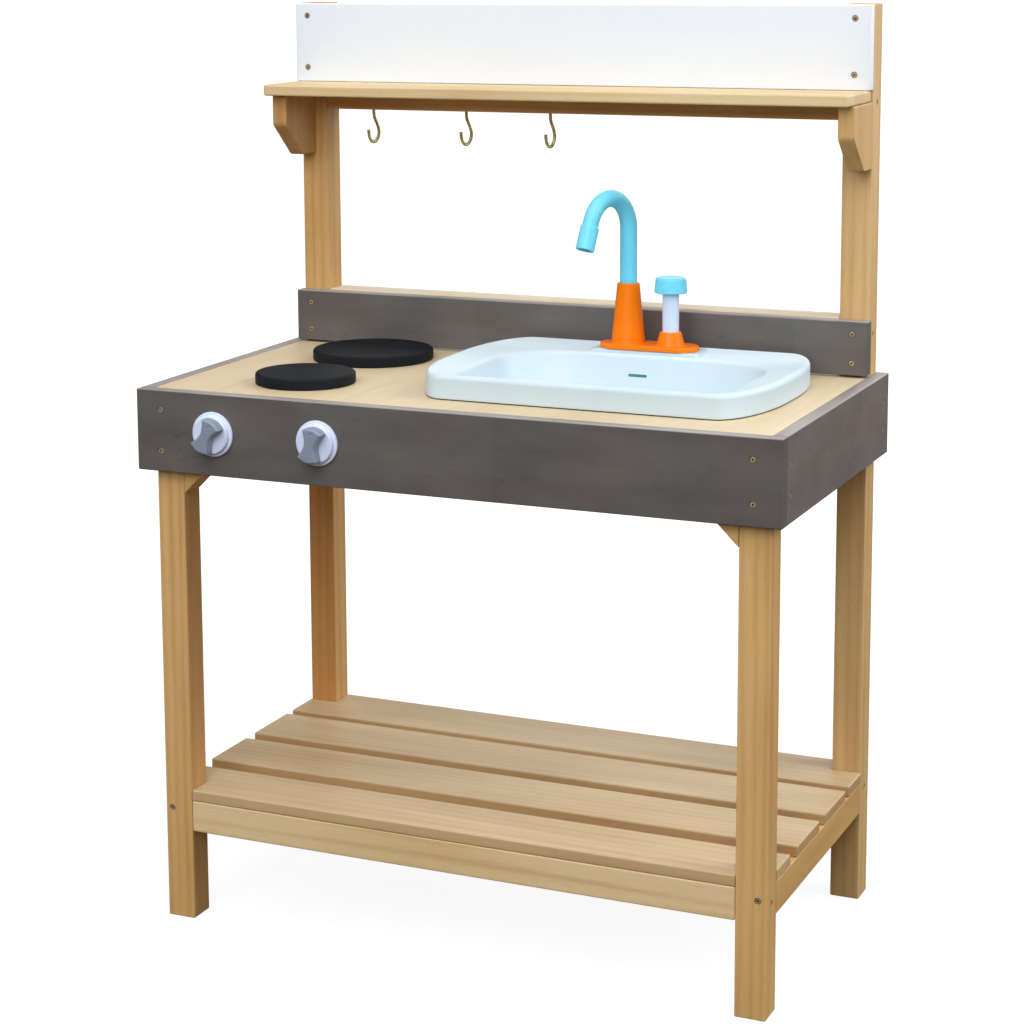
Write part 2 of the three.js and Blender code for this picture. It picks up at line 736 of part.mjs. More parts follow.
function basinShell() {
  const floor = rimTop - bowlDepth;
  const lip = rimTop - bowlLipDrop;
  const half = bowlDraft / 2;
  const middle = (lip + floor + bowlFillet) / 2;
  const bend = bowlFillet * (1 - Math.SQRT1_2);
  const soft = rimEdge * (1 - Math.SQRT1_2);
  const chamfer = basinWall * Math.SQRT1_2;
  return lofted([
    bowlLoop(bowlDraft + bowlFillet, floor - basinWall),
    bowlLoop(bowlDraft + bend - chamfer, floor + bend - chamfer),
    bowlLoop(bowlDraft - basinWall, floor + bowlFillet),
    bowlLoop(half - basinWall, middle),
    bowlLoop(-basinWall, lip - basinWall),
    rimLoop(rimTopWidth, rimTop - basinWall),
    rimLoop(basinWall + soft, rimTop - basinWall),
    rimLoop(basinWall, rimTop - basinWall - soft),
    rimLoop(basinWall, basinBase),
    rimLoop(0, basinBase),
    rimLoop(0, rimTop - rimEdge),
    rimLoop(soft, rimTop - soft),
    rimLoop(rimEdge, rimTop),
    rimLoop(rimTopWidth, rimTop - soft / 2),
    bowlLoop(0, lip),
    bowlLoop(soft, lip - rimEdge),
    bowlLoop(half, middle),
    bowlLoop(bowlDraft, floor + bowlFillet),
    bowlLoop(bowlDraft + bend, floor + bend),
    bowlLoop(bowlDraft + bowlFillet, floor),
  ]);
}

function buildBasin() {
  const deckBack = rimTopWidth / 2;
  const deckFront = bowlBackMargin + seatGap;
  const deckWidth = plateLength + 2 * plateThickness;
  const deck = extruded(roundedRectangle(deckWidth, deckFront - deckBack, plateThickness), tapDeckHeight);
  deck.translate(tapX, basinRear - (deckFront + deckBack) / 2, deckUnderside);
  const slot = extruded(roundedRectangle(slotWidth, slotHeight, slotHeight / 2), 2 * bowlDraft, slotSteps);
  slot.rotateX(Math.PI / 2);
  slot.translate(tapX, basinRear - bowlBackMargin + bowlDraft / 2, rimTop - slotDrop);
  const holes = [spoutX, pumpX].map((x) => {
    const hole = rod(shankDiameter / 2 + seatGap, deckUnderside - bowlLipDrop, rimTop + overrun, shankSides);
    hole.translate(x, tapY, 0);
    return hole;
  });
  const body = join([basinShell(), deck]);
  addPiece('sink_basin', cut(body, [slot, ...holes]), basinPlastic);
}

// Tap base: plate, two cones and the two shanks that go through the basin's deck
function buildTapBase() {
  const outline = roundedRectangle(plateLength, plateWidth, plateWidth / 2 - plateBevel);
  const plate = easedSlab(outline, plateThickness, plateBevel, 6);
  plate.translate(tapX, tapY, plateBottom);
  const at = (x, geometry) => {
    geometry.translate(x, tapY, 0);
    return geometry;
  };
  const sunk = plateTop - plateBevel;
  const tall = cone(tallConeBottom / 2, tallConeTop / 2, sunk, plateTop + tallConeHeight);
  const small = cone(smallConeBottom / 2, smallConeTop / 2, sunk, plateTop + smallConeHeight);
  const shank = () => rod(shankDiameter / 2, shankEnd, sunk, shankSides);
  const body = join([plate, at(spoutX, tall), at(pumpX, small), at(spoutX, shank()), at(pumpX, shank())]);
  const tallTop = plateTop + tallConeHeight + overrun;
  const smallTop = plateTop + smallConeHeight + overrun;
  const spoutHole = rod(spoutDiameter / 2 + runningGap, plateTop + spoutSeat, tallTop, shankSides);
  const waterHole = rod(waterWay / 2, shankEnd - overrun, plateTop + spoutSeat + overrun, tubeSides);
  const pumpHole = rod(stemDiameter / 2 + runningGap, shankEnd - overrun, smallTop, shankSides);
  addPiece('tap_base', cut(body, [at(spoutX, spoutHole), at(spoutX, waterHole), at(pumpX, pumpHole)]),
    orangePlastic);

  const nut = () => {
    const corners = Array.from({ length: nutCorners }, (_, i) => {
      const angle = 2 * Math.PI * i / nutCorners;
      return [nutAcross / 2 * Math.cos(angle), nutAcross / 2 * Math.sin(angle)];
    });
    const hexagon = polygonShape(corners);
    const hole = new THREE.Path();
    hole.absarc(0, 0, shankDiameter / 2 + seatGap, 0, Math.PI * 2, true);
    hexagon.holes.push(hole);
    return extruded(hexagon, nutThickness, 10);
  };
  const nutBottom = deckUnderside - seatGap - nutThickness;
  addPiece('spout_nut', nut(), innerPlastic, [spoutX, tapY, nutBottom]);
  addPiece('pump_nut', nut(), innerPlastic, [pumpX, tapY, nutBottom]);
}

// Spout: a bent tube in its own group, turned about the riser, and the nozzle on its end
function buildSpout() {
  const spout = new THREE.Group();
  spout.position.set(spoutX, tapY, 0);
  spout.rotation.z = THREE.MathUtils.degToRad(spoutRestTurn);
  layout.add(spout);
  const foot = plateTop + spoutSeat + seatGap;
  const bendStart = plateTop + spoutBendHeight;
  const angle = THREE.MathUtils.degToRad(spoutBendAngle);
  const at = (out, z) => new THREE.Vector3(0, -out, z);
  const along = at(Math.sin(angle), Math.cos(angle));
  const bendEnd = at(spoutBendRadius * (1 - Math.cos(angle)), bendStart + spoutBendRadius * Math.sin(angle));
  const tubeEnd = bendEnd.clone().addScaledVector(along, spoutTail);

  class Bend extends THREE.Curve {
    getPoint(t, target = new THREE.Vector3()) {
      const turn = t * angle;
      const out = spoutBendRadius * (1 - Math.cos(turn));
      return target.copy(at(out, bendStart + spoutBendRadius * Math.sin(turn)));
    }
  }
  const path = new THREE.CurvePath();
  path.add(new THREE.LineCurve3(at(0, foot), at(0, bendStart)));
  path.add(new Bend());
  path.add(new THREE.LineCurve3(bendEnd, tubeEnd));
  const wall = ringOutline(spoutDiameter / 2, spoutBore / 2, boreSides);
  const tube = new THREE.ExtrudeGeometry(wall, { extrudePath: path, steps: tubeSteps, curveSegments: 8 });
  addPiece('spout_tube', tube, bluePlastic, [0, 0, 0], spout);

  const outerStart = nozzleStartDiameter / 2;
  const outerEnd = nozzleEndDiameter / 2;
  const socket = spoutDiameter / 2 + seatGap;
  const depth = spoutTail - nozzlePlace + seatGap;
  const nozzle = turned([
    [socket, 0], [(socket + outerStart) / 2, 0], [outerStart, nozzleFlare],
    [outerEnd, nozzleLength - nozzleLip], [outerEnd - nozzleLip, nozzleLength],
    [nozzleBore / 2, nozzleLength], [nozzleBore / 2, depth], [socket, depth], [socket, 0],
  ], nozzleSides);
  const nozzleStart = bendEnd.clone().addScaledVector(along, nozzlePlace);
  const piece = addPiece('spout_nozzle', nozzle, bluePlastic, nozzleStart.toArray(), spout);
  piece.quaternion.setFromUnitVectors(new THREE.Vector3(0, 0, 1), along);
}

// Pump: stem and cap above, piston, spring and barrel below, and the hose to the spout
function helixCurve(radius, bottom, top, turns) {
  class Helix extends THREE.Curve {
    getPoint(t, target = new THREE.Vector3()) {
      const angle = t * turns * Math.PI * 2;
      return target.set(radius * Math.cos(angle), radius * Math.sin(angle), bottom + t * (top - bottom));
    }
  }
  return new Helix();
}

function buildPump() {
  const coneTop = plateTop + smallConeHeight;
  const capBottom = coneTop + stemRise;
  const stemTop = capBottom + capSocketDepth - seatGap;
  const pistonTop = shankEnd - seatGap;
  const pistonBottom = pistonTop - pistonThickness;
  const barrelTop = shankEnd - seatGap;
  const barrelBottom = barrelTop - barrelLength;
  const barrelFloor = barrelBottom + barrelWall;
  const place = [pumpX, tapY, 0];

  addPiece('pump_stem', rod(stemDiameter / 2, shankEnd, stemTop, capSides), stemPlastic, place);

  const low = capBottomDiameter / 2;
  const high = capTopDiameter / 2;
  const socket = stemDiameter / 2 + seatGap;
  const soft = capEdge * (1 - Math.SQRT1_2);
  addPiece('pump_cap', turned([
    [0, capBottom + capSocketDepth], [socket, capBottom + capSocketDepth], [socket, capBottom],
    [low - capEdge / 2, capBottom], [low, capBottom + capEdge / 2],
    [high + capEdge / 4, capBottom + capHeight - capEdge], [high - soft / 2, capBottom + capHeight - soft],
    [high - capEdge, capBottom + capHeight], [0, capBottom + capHeight],
  ], capSides), bluePlastic, place);

  const piston = rod(pistonDiameter / 2, pistonBottom, pistonTop, barrelSides);
  addPiece('pump_piston', piston, innerPlastic, place);

  const bore = barrelBore / 2;
  const outer = bore + barrelWall;
  addPiece('pump_barrel', turned([
    [0, barrelBottom], [outer, barrelBottom], [outer, barrelTop], [bore, barrelTop],
    [bore, barrelFloor], [0, barrelFloor],
  ], barrelSides), innerPlastic, place);

  const wire = new THREE.Shape();
  wire.absarc(0, 0, springWire / 2, 0, Math.PI * 2);
  const room = springWire / 2 + seatGap;
  const coilRadius = (springDiameter - springWire) / 2;
  const coil = helixCurve(coilRadius, barrelFloor + room, pistonBottom - room, springTurns);
  const springSteps = springTurns * springStepsPerTurn;
  const winding = { extrudePath: coil, steps: springSteps, curveSegments: 3 };
  const spring = new THREE.ExtrudeGeometry(wire, winding);
  addPiece('pump_spring', spring, springSteel, place);

  const hoseTop = shankEnd - seatGap;
  const run = hoseTop - hoseLowest;
  const end = pumpX - outer - seatGap;
  const [wide, near] = hoseBendShares.map((share) => share * hoseDiameter);
  const hosePath = new THREE.CatmullRomCurve3([
    new THREE.Vector3(spoutX, tapY, hoseTop),
    new THREE.Vector3(spoutX, tapY, hoseTop - hoseDiameter),
    new THREE.Vector3(spoutX, tapY, run + wide),
    new THREE.Vector3(spoutX + near, tapY, run + near),
    new THREE.Vector3(spoutX + wide, tapY, run),
    new THREE.Vector3(end - hoseDiameter, tapY, run),
    new THREE.Vector3(end, tapY, run),
  ]);
  const hoseWall = ringOutline(hoseDiameter / 2, hoseBore / 2, hoseSides);
  const route = { extrudePath: hosePath, steps: hoseSteps, curveSegments: 5 };
  const hose = new THREE.ExtrudeGeometry(hoseWall, route);
  addPiece('pump_hose', hose, innerPlastic);
}

buildLegs();
buildTray();
buildPanel();
buildCornerBlocks();
buildLowerShelf();
buildBacksplash();
buildUpperShelf();
buildHooks();
buildHobs();
buildKnobs();
buildBasin();
buildTapBase();
buildSpout();
buildPump();

export default kitchen;
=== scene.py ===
from math import cos, pi, radians, sin

import bmesh
import bpy
from mathutils import Matrix, Vector


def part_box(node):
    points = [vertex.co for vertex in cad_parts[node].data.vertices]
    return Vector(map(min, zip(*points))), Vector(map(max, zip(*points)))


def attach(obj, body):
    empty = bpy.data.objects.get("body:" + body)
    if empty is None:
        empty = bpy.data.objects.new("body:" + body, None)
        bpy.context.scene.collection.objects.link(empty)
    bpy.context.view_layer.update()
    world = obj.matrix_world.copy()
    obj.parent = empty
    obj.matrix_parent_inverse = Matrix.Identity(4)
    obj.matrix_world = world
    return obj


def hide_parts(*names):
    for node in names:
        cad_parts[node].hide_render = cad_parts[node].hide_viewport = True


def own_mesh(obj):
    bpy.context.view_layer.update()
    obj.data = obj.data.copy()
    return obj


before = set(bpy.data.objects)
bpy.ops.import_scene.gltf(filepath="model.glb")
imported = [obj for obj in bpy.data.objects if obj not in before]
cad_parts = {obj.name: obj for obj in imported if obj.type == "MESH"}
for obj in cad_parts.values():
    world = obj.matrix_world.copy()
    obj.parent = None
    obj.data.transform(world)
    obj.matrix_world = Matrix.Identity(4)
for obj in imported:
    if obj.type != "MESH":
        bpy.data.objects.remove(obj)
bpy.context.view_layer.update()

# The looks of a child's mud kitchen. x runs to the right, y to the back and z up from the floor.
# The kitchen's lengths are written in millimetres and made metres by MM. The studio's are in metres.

MM = 0.001
X, Y, Z = range(3)
FRONT = (0, -1, 0)
SIDES = (("left", -1), ("right", 1))
SCENE = bpy.context.scene
FRAME_BODY = "kitchen_frame"

# Colours as they are seen, red, green and blue from 0 to 255. A wood has a light, a middle and a dark tone
PINE = ((233, 191, 130), (219, 174, 110), (190, 143, 84))
RIGHT_POST_PINE = ((225, 188, 133), (212, 171, 113), (184, 141, 88))
# A darker, redder copy of the pine for the upper rail: painted shade under the upper shelf.
UPPER_RAIL_SHADE_PINE = ((222, 168, 106), (202, 144, 82), (168, 110, 56))
# Darker copies of the pine for the shelf brackets: painted shade under the upper shelf.
LEFT_BRACKET_SHADE_PINE = ((210, 164, 102), (194, 144, 84), (162, 116, 60))
RIGHT_BRACKET_SHADE_PINE = ((217, 177, 118), (204, 161, 99), (177, 132, 75))
RAIL_PINE = ((240, 226, 198), (229, 210, 178), (208, 185, 150))
PALE_PINE = ((220, 194, 156), (207, 179, 137), (184, 153, 110))
FRONT_RAIL_PINE = ((241, 215, 169), (230, 198, 146), (208, 171, 117))
SHELF_PINE = ((236, 212, 170), (223, 196, 148), (200, 168, 118))
PLY = ((227, 209, 176), (216, 195, 159), (196, 170, 131))
PLY_SEAM = (136, 104, 70)
STAIN = ((105, 101, 96), (95, 91, 88), (82, 76, 75))
# A paler copy of the stain for the backsplash: painted light.
BACKSPLASH_LIGHT_STAIN = ((106, 102, 98), (96, 92, 89), (86, 81, 79))
# A paler copy of the stain for the tray's side boards: painted light where light from the side falls.
SIDE_LIGHT_STAIN = ((121, 112, 108), (111, 103, 100), (99, 91, 88))
BLACK_STAIN = ((20, 26, 34), (13, 18, 25), (8, 10, 15))
# The paler colour of a stained board's top edge: partly stain rubbed off, partly a painted sheen.
WORN_SHEEN_STAIN = (172, 163, 160)
WHITE_PAINT = ((239, 246, 255), (244, 249, 255))
BASIN = (203, 219, 227)
PAD = (202, 218, 227)
ORANGE = (252, 125, 0)
BLUE = (118, 220, 246)
STEM = (213, 227, 250)
DIAL = (222, 230, 255)
GRIP = (138, 149, 167)
BRASS = (222, 208, 138)
SCREW_METAL = (186, 166, 126)
# Near black for painted shadow: deep in the screws' sockets, round their heads and where the basin's rim meets the
# worktop.
PAINTED_SHADOW = (44, 38, 34)
# Dark teal for the inside of the basin's overflow slot: painted shade.
SLOT_SHADE_COLOUR = (66, 130, 130)
STEEL = (170, 172, 176)
INNER_PLASTIC = (206, 210, 214)

# Painted light and shade for a part of a piece: linear shares that its colour is multiplied by. Below one is
# painted shade, above one is painted light.
# Painted shade on the left rear post's front face, below the tray.
SHADE_TINT = (0.84, 0.65, 0.49, 1)
# Painted shade at the left rear post's top, under the upper shelf.
SHELF_SHADE_TINT = (0.86, 0.72, 0.58, 1)
# Painted shade on the left front leg's inner side, under the tray.
INNER_SIDE_SHADE_TINT = (0.94, 0.86, 0.84, 1)
# Painted shade on the rear slats' faces below their tops, where the slat in front shades them.
GAP_SHADE_TINT = (0.85, 0.7, 0.58, 1)
# Lighter painted shade on the front slat's faces below its top.
FRONT_SLAT_SHADE_TINT = (0.96, 0.88, 0.8, 1)
# Painted shade that darkens the header towards its bottom.
HEADER_SHADE_TINT = (0.88, 0.88, 0.9, 1)
# Painted light on the basin's rear ledge.
LEDGE_LIGHT_TINT = (1.37, 1.33, 1.33, 1)


# Small tools

def mm(*points):
    """Points written in millimetres, in metres."""
    return [tuple(value * MM for value in point) for point in points]


def linear(colour):
    """A seen colour as the shader's linear values."""
    def one(value):
        share = value / 255
        return share / 12.92 if share <= 0.04045 else ((share + 0.055) / 1.055) ** 2.4
    return (*[one(value) for value in colour], 1.0)


def add_object(name, data):
    piece = bpy.data.objects.new(name, data)
    SCENE.collection.objects.link(piece)
    return piece


def to_object(name, bm, outward=True):
    """Makes an object of a form, with all its faces turned outward unless they are set already."""
    if outward:
        bmesh.ops.recalc_face_normals(bm, faces=bm.faces[:])
    mesh = bpy.data.meshes.new(name)
    bm.to_mesh(mesh)
    bm.free()
    return add_object(name, mesh)


def evaluated_mesh(piece):
    return bpy.data.meshes.new_from_object(piece.evaluated_get(bpy.context.evaluated_depsgraph_get()))


def settle(piece):
    """Applies the piece's modifiers to its mesh."""
    mesh = evaluated_mesh(piece)
    piece.modifiers.clear()
    piece.data = mesh


def carve(piece, cutters, operation="DIFFERENCE"):
    """Cuts forms out of a piece, or joins them to it, and removes them."""
    for cutter in cutters:
        change = piece.modifiers.new("carve", "BOOLEAN")
        change.operation = operation
        change.solver = "EXACT"
        change.object = cutter
    settle(piece)
    for cutter in cutters:
        bpy.data.objects.remove(cutter)


def dress(piece, finish, node=None, body=FRAME_BODY, sharp=35):
    """Shades a finished piece, gives it its finish and seats it on its body.
    The finish is a material, or the name of one in FINISHES."""
    piece.data.materials.clear()
    piece.data.materials.append(FINISHES.get(finish, finish))
    piece.data.shade_smooth()
    piece.data.set_sharp_from_angle(angle=radians(sharp))
    even = piece.modifiers.new("even_shading", "WEIGHTED_NORMAL")
    even.keep_sharp = True
    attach(piece, body)
    if node:
        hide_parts(node)


def carry(node, finish):
    """A CAD piece that keeps its own mesh and only takes a finish."""
    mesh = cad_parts[node].data
    mesh.materials.clear()
    mesh.materials.append(FINISHES[finish])


def middle_of(node):
    low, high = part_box(node)
    return (low + high) / 2


def outer_x(node, out):
    """Where a node's outer side is: out is -1 on the left of the kitchen and 1 on the right."""
    low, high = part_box(node)
    return low.x if out < 0 else high.x


def at(x, y, z):
    return Matrix.Translation((x, y, z))


def upright(degrees):
    """A turn about the upright axis."""
    return Matrix.Rotation(radians(degrees), 4, "Z")


def facing(point, outward):
    """Places a form built along +z so that it looks out of a face at a point."""
    return Matrix.Translation(point) @ Vector((0, 0, 1)).rotation_difference(Vector(outward)).to_matrix().to_4x4()


def eased(bm, width, segments=3, sharper=25, chosen=None):
    """Rounds the sharp edges of a closed form, or only the chosen ones."""
    edges = [e for e in bm.edges if len(e.link_faces) == 2 and e.calc_face_angle() > radians(sharper)
             and (chosen is None or chosen(e))]
    bmesh.ops.bevel(bm, geom=edges, offset=width, segments=segments, profile=0.5, affect="EDGES", material=-1)


def above(height):
    """Chooses the edges that lie above a height."""
    return lambda edge: min(v.co.z for v in edge.verts) > height


def moved(bm, place):
    bmesh.ops.transform(bm, matrix=place, verts=bm.verts[:])
    return bm


def cuboid(low, high):
    bm = bmesh.new()
    bmesh.ops.create_cube(bm, size=1.0)
    return moved(bm, Matrix.Translation((low + high) / 2) @ Matrix.Diagonal((*(high - low), 1)))


def slab(outline, thickness, place):
    """A flat outline, as points, given a thickness along its normal. place puts it in the scene."""
    bm = bmesh.new()
    face = bm.faces.new([bm.verts.new((x, y, 0)) for x, y in outline])
    grown = bmesh.ops.extrude_face_region(bm, geom=[face])
    risen = [v for v in grown["geom"] if isinstance(v, bmesh.types.BMVert)]
    bmesh.ops.translate(bm, verts=risen, vec=(0, 0, thickness))
    return moved(bm, place)


def turned(name, profile, place=Matrix.Identity(4), steps=72):
    """An object whose profile of (radius, height) points is turned about its own z axis."""
    bm = bmesh.new()
    rail = [bm.verts.new((radius, 0, height)) for radius, height in profile]
    edges = [bm.edges.new(pair) for pair in zip(rail, rail[1:])]
    bmesh.ops.spin(bm, geom=rail + edges, cent=(0, 0, 0), axis=(0, 0, 1), angle=2 * pi, steps=steps,
                   use_merge=True)
    bmesh.ops.remove_doubles(bm, verts=bm.verts[:], dist=1e-7)
    return to_object(name, moved(bm, place))


def drill(radius, low, high, place, steps=24):
    """A round bar that cuts a hole, from low to high along its own z axis."""
    return turned("drill", [(0, low), (radius, low), (radius, high), (0, high)], place, steps)


def arc(centre, radius, start, end, steps):
    """Points on an arc, its angles in degrees."""
    angles = [radians(start + (end - start) * i / steps) for i in range(steps + 1)]
    return [(centre[0] + radius * cos(angle), centre[1] + radius * sin(angle)) for angle in angles]


def tube(name, points, radius, smooth, widths=None):
    """A round bar along points, closed at both ends. widths scale the radius point by point."""
    curve = bpy.data.curves.new(name, "CURVE")
    curve.dimensions = "3D"
    curve.bevel_depth = radius
    curve.bevel_resolution = 8
    curve.use_fill_caps = True
    line = curve.splines.new("NURBS")
    line.points.add(len(points) - 1)
    for point, place, width in zip(line.points, points, widths or [1] * len(points)):
        point.co = (*place, 1)
        point.radius = width
    line.order_u = 4
    line.use_endpoint_u = True
    line.resolution_u = smooth
    holder = add_object(name, curve)
    bm = bmesh.new()
    bm.from_mesh(evaluated_mesh(holder))
    bpy.data.objects.remove(holder)
    bmesh.ops.remove_doubles(bm, verts=bm.verts[:], dist=1e-6)
    return to_object(name, bm)


# Finishes

SEED_STEPS = (0.731, 1.317, 0.519)
WHITE = (1, 1, 1, 1)
WOOD_ROUGHNESS = (0.46, 0.6)
STAIN_ROUGHNESS = (0.44, 0.6)
HEART_REACH = 90 * MM
# How far down a stained board's top edge is painted paler, for worn stain and a painted sheen.
WORN_SHEEN_DEPTH = 1.4 * MM
PLY_BOARD = 152 * MM
PLY_SHIFT = 274 / 152 + 8


class Finish:
    """A material under construction: its nodes, and its pattern on Object coordinates."""

    def __init__(self, name, colour, roughness, metallic=0.0, gloss=0.5):
        self.material = bpy.data.materials.new(name)
        self.material.use_nodes = True
        self.tree = self.material.node_tree
        self.shader = self.tree.nodes["Principled BSDF"]
        for socket, value in (("Base Color", linear(colour)), ("Roughness", roughness), ("Metallic", metallic),
                              ("Specular IOR Level", gloss)):
            self.shader.inputs[socket].default_value = value
        self.place = self.node("TexCoord").outputs["Object"]

    def node(self, kind, **settings):
        made = self.tree.nodes.new("ShaderNode" + kind)
        for key, value in settings.items():
            if hasattr(made, key):
                setattr(made, key, value)
            else:
                self.feed(made.inputs[key.replace("_", " ")], value)
        return made

    def feed(self, socket, value):
        if isinstance(value, bpy.types.NodeSocket):
            self.tree.links.new(value, socket)
        else:
            socket.default_value = value

    def axes(self):
        """The three Object coordinates, one by one."""
        return self.node("SeparateXYZ", Vector=self.place).outputs

    def noise(self, axis, stretch, seed, scale, detail=3.0, roughness=0.55, distortion=0.0):
        """A cloudy pattern, stretched along an axis and moved by its seed."""
        place = self.node("Mapping", Vector=self.place, Scale=lengthwise(axis, stretch),
                          Location=[seed * step for step in SEED_STEPS]).outputs["Vector"]
        made = self.node("TexNoise", Vector=place, Scale=scale, Detail=detail, Roughness=roughness,
                         Distortion=distortion)
        return made.outputs["Fac"]

    def ramp(self, value, positions, colours):
        made = self.node("ValToRGB", Fac=value)
        ramp = made.color_ramp
        while len(ramp.elements) < len(colours):
            ramp.elements.new(0.5)
        for element, position, colour in zip(ramp.elements, positions, colours):
            element.position = position
            element.color = colour if len(colour) == 4 else linear(colour)
        return made.outputs["Color"]

    def math(self, operation, first, second=0.0, third=0.0, clamp=False):
        made = self.node("Math", operation=operation, use_clamp=clamp)
        for socket, value in zip(made.inputs, (first, second, third)):
            self.feed(socket, value)
        return made.outputs["Value"]

    def mix(self, share, first, second, blend="MIX"):
        made = self.node("Mix", data_type="RGBA", blend_type=blend)
        for socket, value in ((0, share), (6, first), (7, second)):
            self.feed(made.inputs[socket], value)
        return made.outputs[2]

    def layered(self, tone, pattern, share, less, clamp=False):
        """A tone with a share of a pattern laid on it, less an even amount."""
        return self.math("MULTIPLY_ADD", pattern, share, self.math("SUBTRACT", tone, less), clamp=clamp)

    def painted_light_shade(self, colour, light_shade_tints):
        """Paints light and shade: multiplies a colour by each tint where all its spans hold.
        A span is an axis, a place with the full tint and a place without it."""
        for tint, spans in light_shade_tints:
            axes = self.axes()
            share = 1.0
            for axis, full, none in spans:
                run = full - none
                part = self.math("MULTIPLY_ADD", axes[axis], 1 / run, -none / run, clamp=True)
                share = self.math("MULTIPLY", share, part)
            colour = self.mix(share, colour, tint, "MULTIPLY")
        return colour

    def bump(self, height, strength, distance):
        made = self.node("Bump", Strength=strength, Distance=distance, Height=height)
        self.feed(self.shader.inputs["Normal"], made.outputs["Normal"])

    def colour(self, value):
        self.feed(self.shader.inputs["Base Color"], value)

    def roughness(self, value, low, high):
        span = self.node("MapRange", Value=value, To_Min=low, To_Max=high)
        self.feed(self.shader.inputs["Roughness"], span.outputs["Result"])


def lengthwise(axis, share):
    """A pattern scale that is stretched along one axis."""
    return tuple(share if i == axis else 1.0 for i in range(3))


def wood(name, tones, along, seed, rings=0.5, centre=(0.5, 0.5), light_shade_tints=()):
    """Solid timber: soft bands along the board, growth rings round a heart beside it and fine fibres."""
    finish = Finish(name, tones[1], WOOD_ROUGHNESS[0])
    axis = "XYZ".index(along)
    streaks = finish.noise(axis, 0.06, seed, 42, 4.0, 0.6)
    broad = finish.noise(axis, 0.3, seed + 3.1, 9, 2.0)
    fibres = finish.noise(axis, 0.018, seed + 7.7, 520, 2.0, 0.7)
    pores = finish.noise(axis, 0.05, seed + 1.3, 1300, 1.0, 0.5)
    heart = [0.0, 0.0, 0.0]
    across = [i for i in range(3) if i != axis]
    heart[across[0]] = centre[0] * HEART_REACH + 0.011 * seed
    heart[across[1]] = centre[1] * HEART_REACH - 0.007 * seed
    place = finish.node("Mapping", Vector=finish.place, Location=heart, Scale=lengthwise(axis, 0.06))
    wave = finish.node("TexWave", wave_type="RINGS", rings_direction=along, wave_profile="SIN",
                       Vector=place.outputs["Vector"], Scale=30, Distortion=3.6, Detail=3, Detail_Scale=1.4)
    growth = finish.math("POWER", wave.outputs["Fac"], 2.0)
    tone = finish.math("MULTIPLY_ADD", streaks, 0.48, 0.26)
    tone = finish.layered(tone, growth, 0.26 * rings, 0.1 * rings)
    tone = finish.layered(tone, broad, 0.7, 0.35)
    tone = finish.layered(tone, fibres, 0.16, 0.08, clamp=True)
    colour = finish.ramp(tone, (0.24, 0.5, 0.8), tones)
    dots = finish.ramp(pores, (0.27, 0.36), ((0.7, 0.58, 0.46, 1), WHITE))
    colour = finish.mix(0.4, colour, dots, "MULTIPLY")
    finish.colour(finish.painted_light_shade(colour, light_shade_tints))
    finish.roughness(streaks, *WOOD_ROUGHNESS)
    finish.bump(finish.math("ADD", fibres, finish.math("MULTIPLY", growth, 0.3)), 0.1, 0.5 * MM)
    return finish.material


def stained_wood(name, tones, along, seed, roughness=STAIN_ROUGHNESS, joint=190 * MM, gloss=0.5, worn_sheen_top=None):
    """Thin stain over jointed timber: cloudy patches, each length a little different, the grain just showing.
    A top edge may be given: at that height the stain is painted paler, partly as stain rubbed off and partly as a
    painted sheen."""
    finish = Finish(name, tones[1], roughness[0], gloss=gloss)
    axis = "XYZ".index(along)
    clouds = finish.noise(axis, 0.5, seed, 22, 3.0, 0.5)
    streaks = finish.noise(axis, 0.1, seed + 2.3, 60, 3.0, 0.55)
    fibres = finish.noise(axis, 0.02, seed + 5.9, 600, 2.0, 0.7)
    warm = finish.noise(axis, 0.6, seed + 9.1, 15, 2.0)
    curls = finish.noise(axis, 0.4, seed + 4.4, 34, 3.0, 0.6, 2.4)
    axes = finish.axes()
    length = finish.math("MULTIPLY_ADD", axes[axis], 1 / joint, seed)
    own = finish.node("TexWhiteNoise", noise_dimensions="1D", W=finish.math("FLOOR", length))
    tone = finish.math("MULTIPLY_ADD", clouds, 0.8, 0.1)
    tone = finish.layered(tone, streaks, 0.3, 0.15)
    tone = finish.layered(tone, own.outputs["Value"], 0.14, 0.07)
    tone = finish.layered(tone, fibres, 0.12, 0.06, clamp=True)
    colour = finish.ramp(tone, (0.25, 0.5, 0.8), tones)
    tinge = finish.ramp(warm, (0.36, 0.64), ((0.97, 1.0, 0.99, 1), (1.05, 0.985, 0.98, 1)))
    knots = finish.ramp(curls, (0.63, 0.73), (WHITE, (0.78, 0.76, 0.78, 1)))
    for layer in (tinge, knots):
        colour = finish.mix(1.0, colour, layer, "MULTIPLY")
    # The top edge is painted paler: worn stain, and a painted sheen.
    if worn_sheen_top:
        rise = finish.math("MULTIPLY_ADD", axes[Z], 1 / WORN_SHEEN_DEPTH, 1.1 - worn_sheen_top / WORN_SHEEN_DEPTH, clamp=True)
        worn_sheen = finish.math("MULTIPLY", rise, finish.math("MULTIPLY_ADD", streaks, 1.6, -0.15, clamp=True))
        colour = finish.mix(worn_sheen, colour, linear(WORN_SHEEN_STAIN))
    finish.colour(colour)
    finish.roughness(clouds, *roughness)
    finish.bump(fibres, 0.08, 0.5 * MM)
    return finish.material


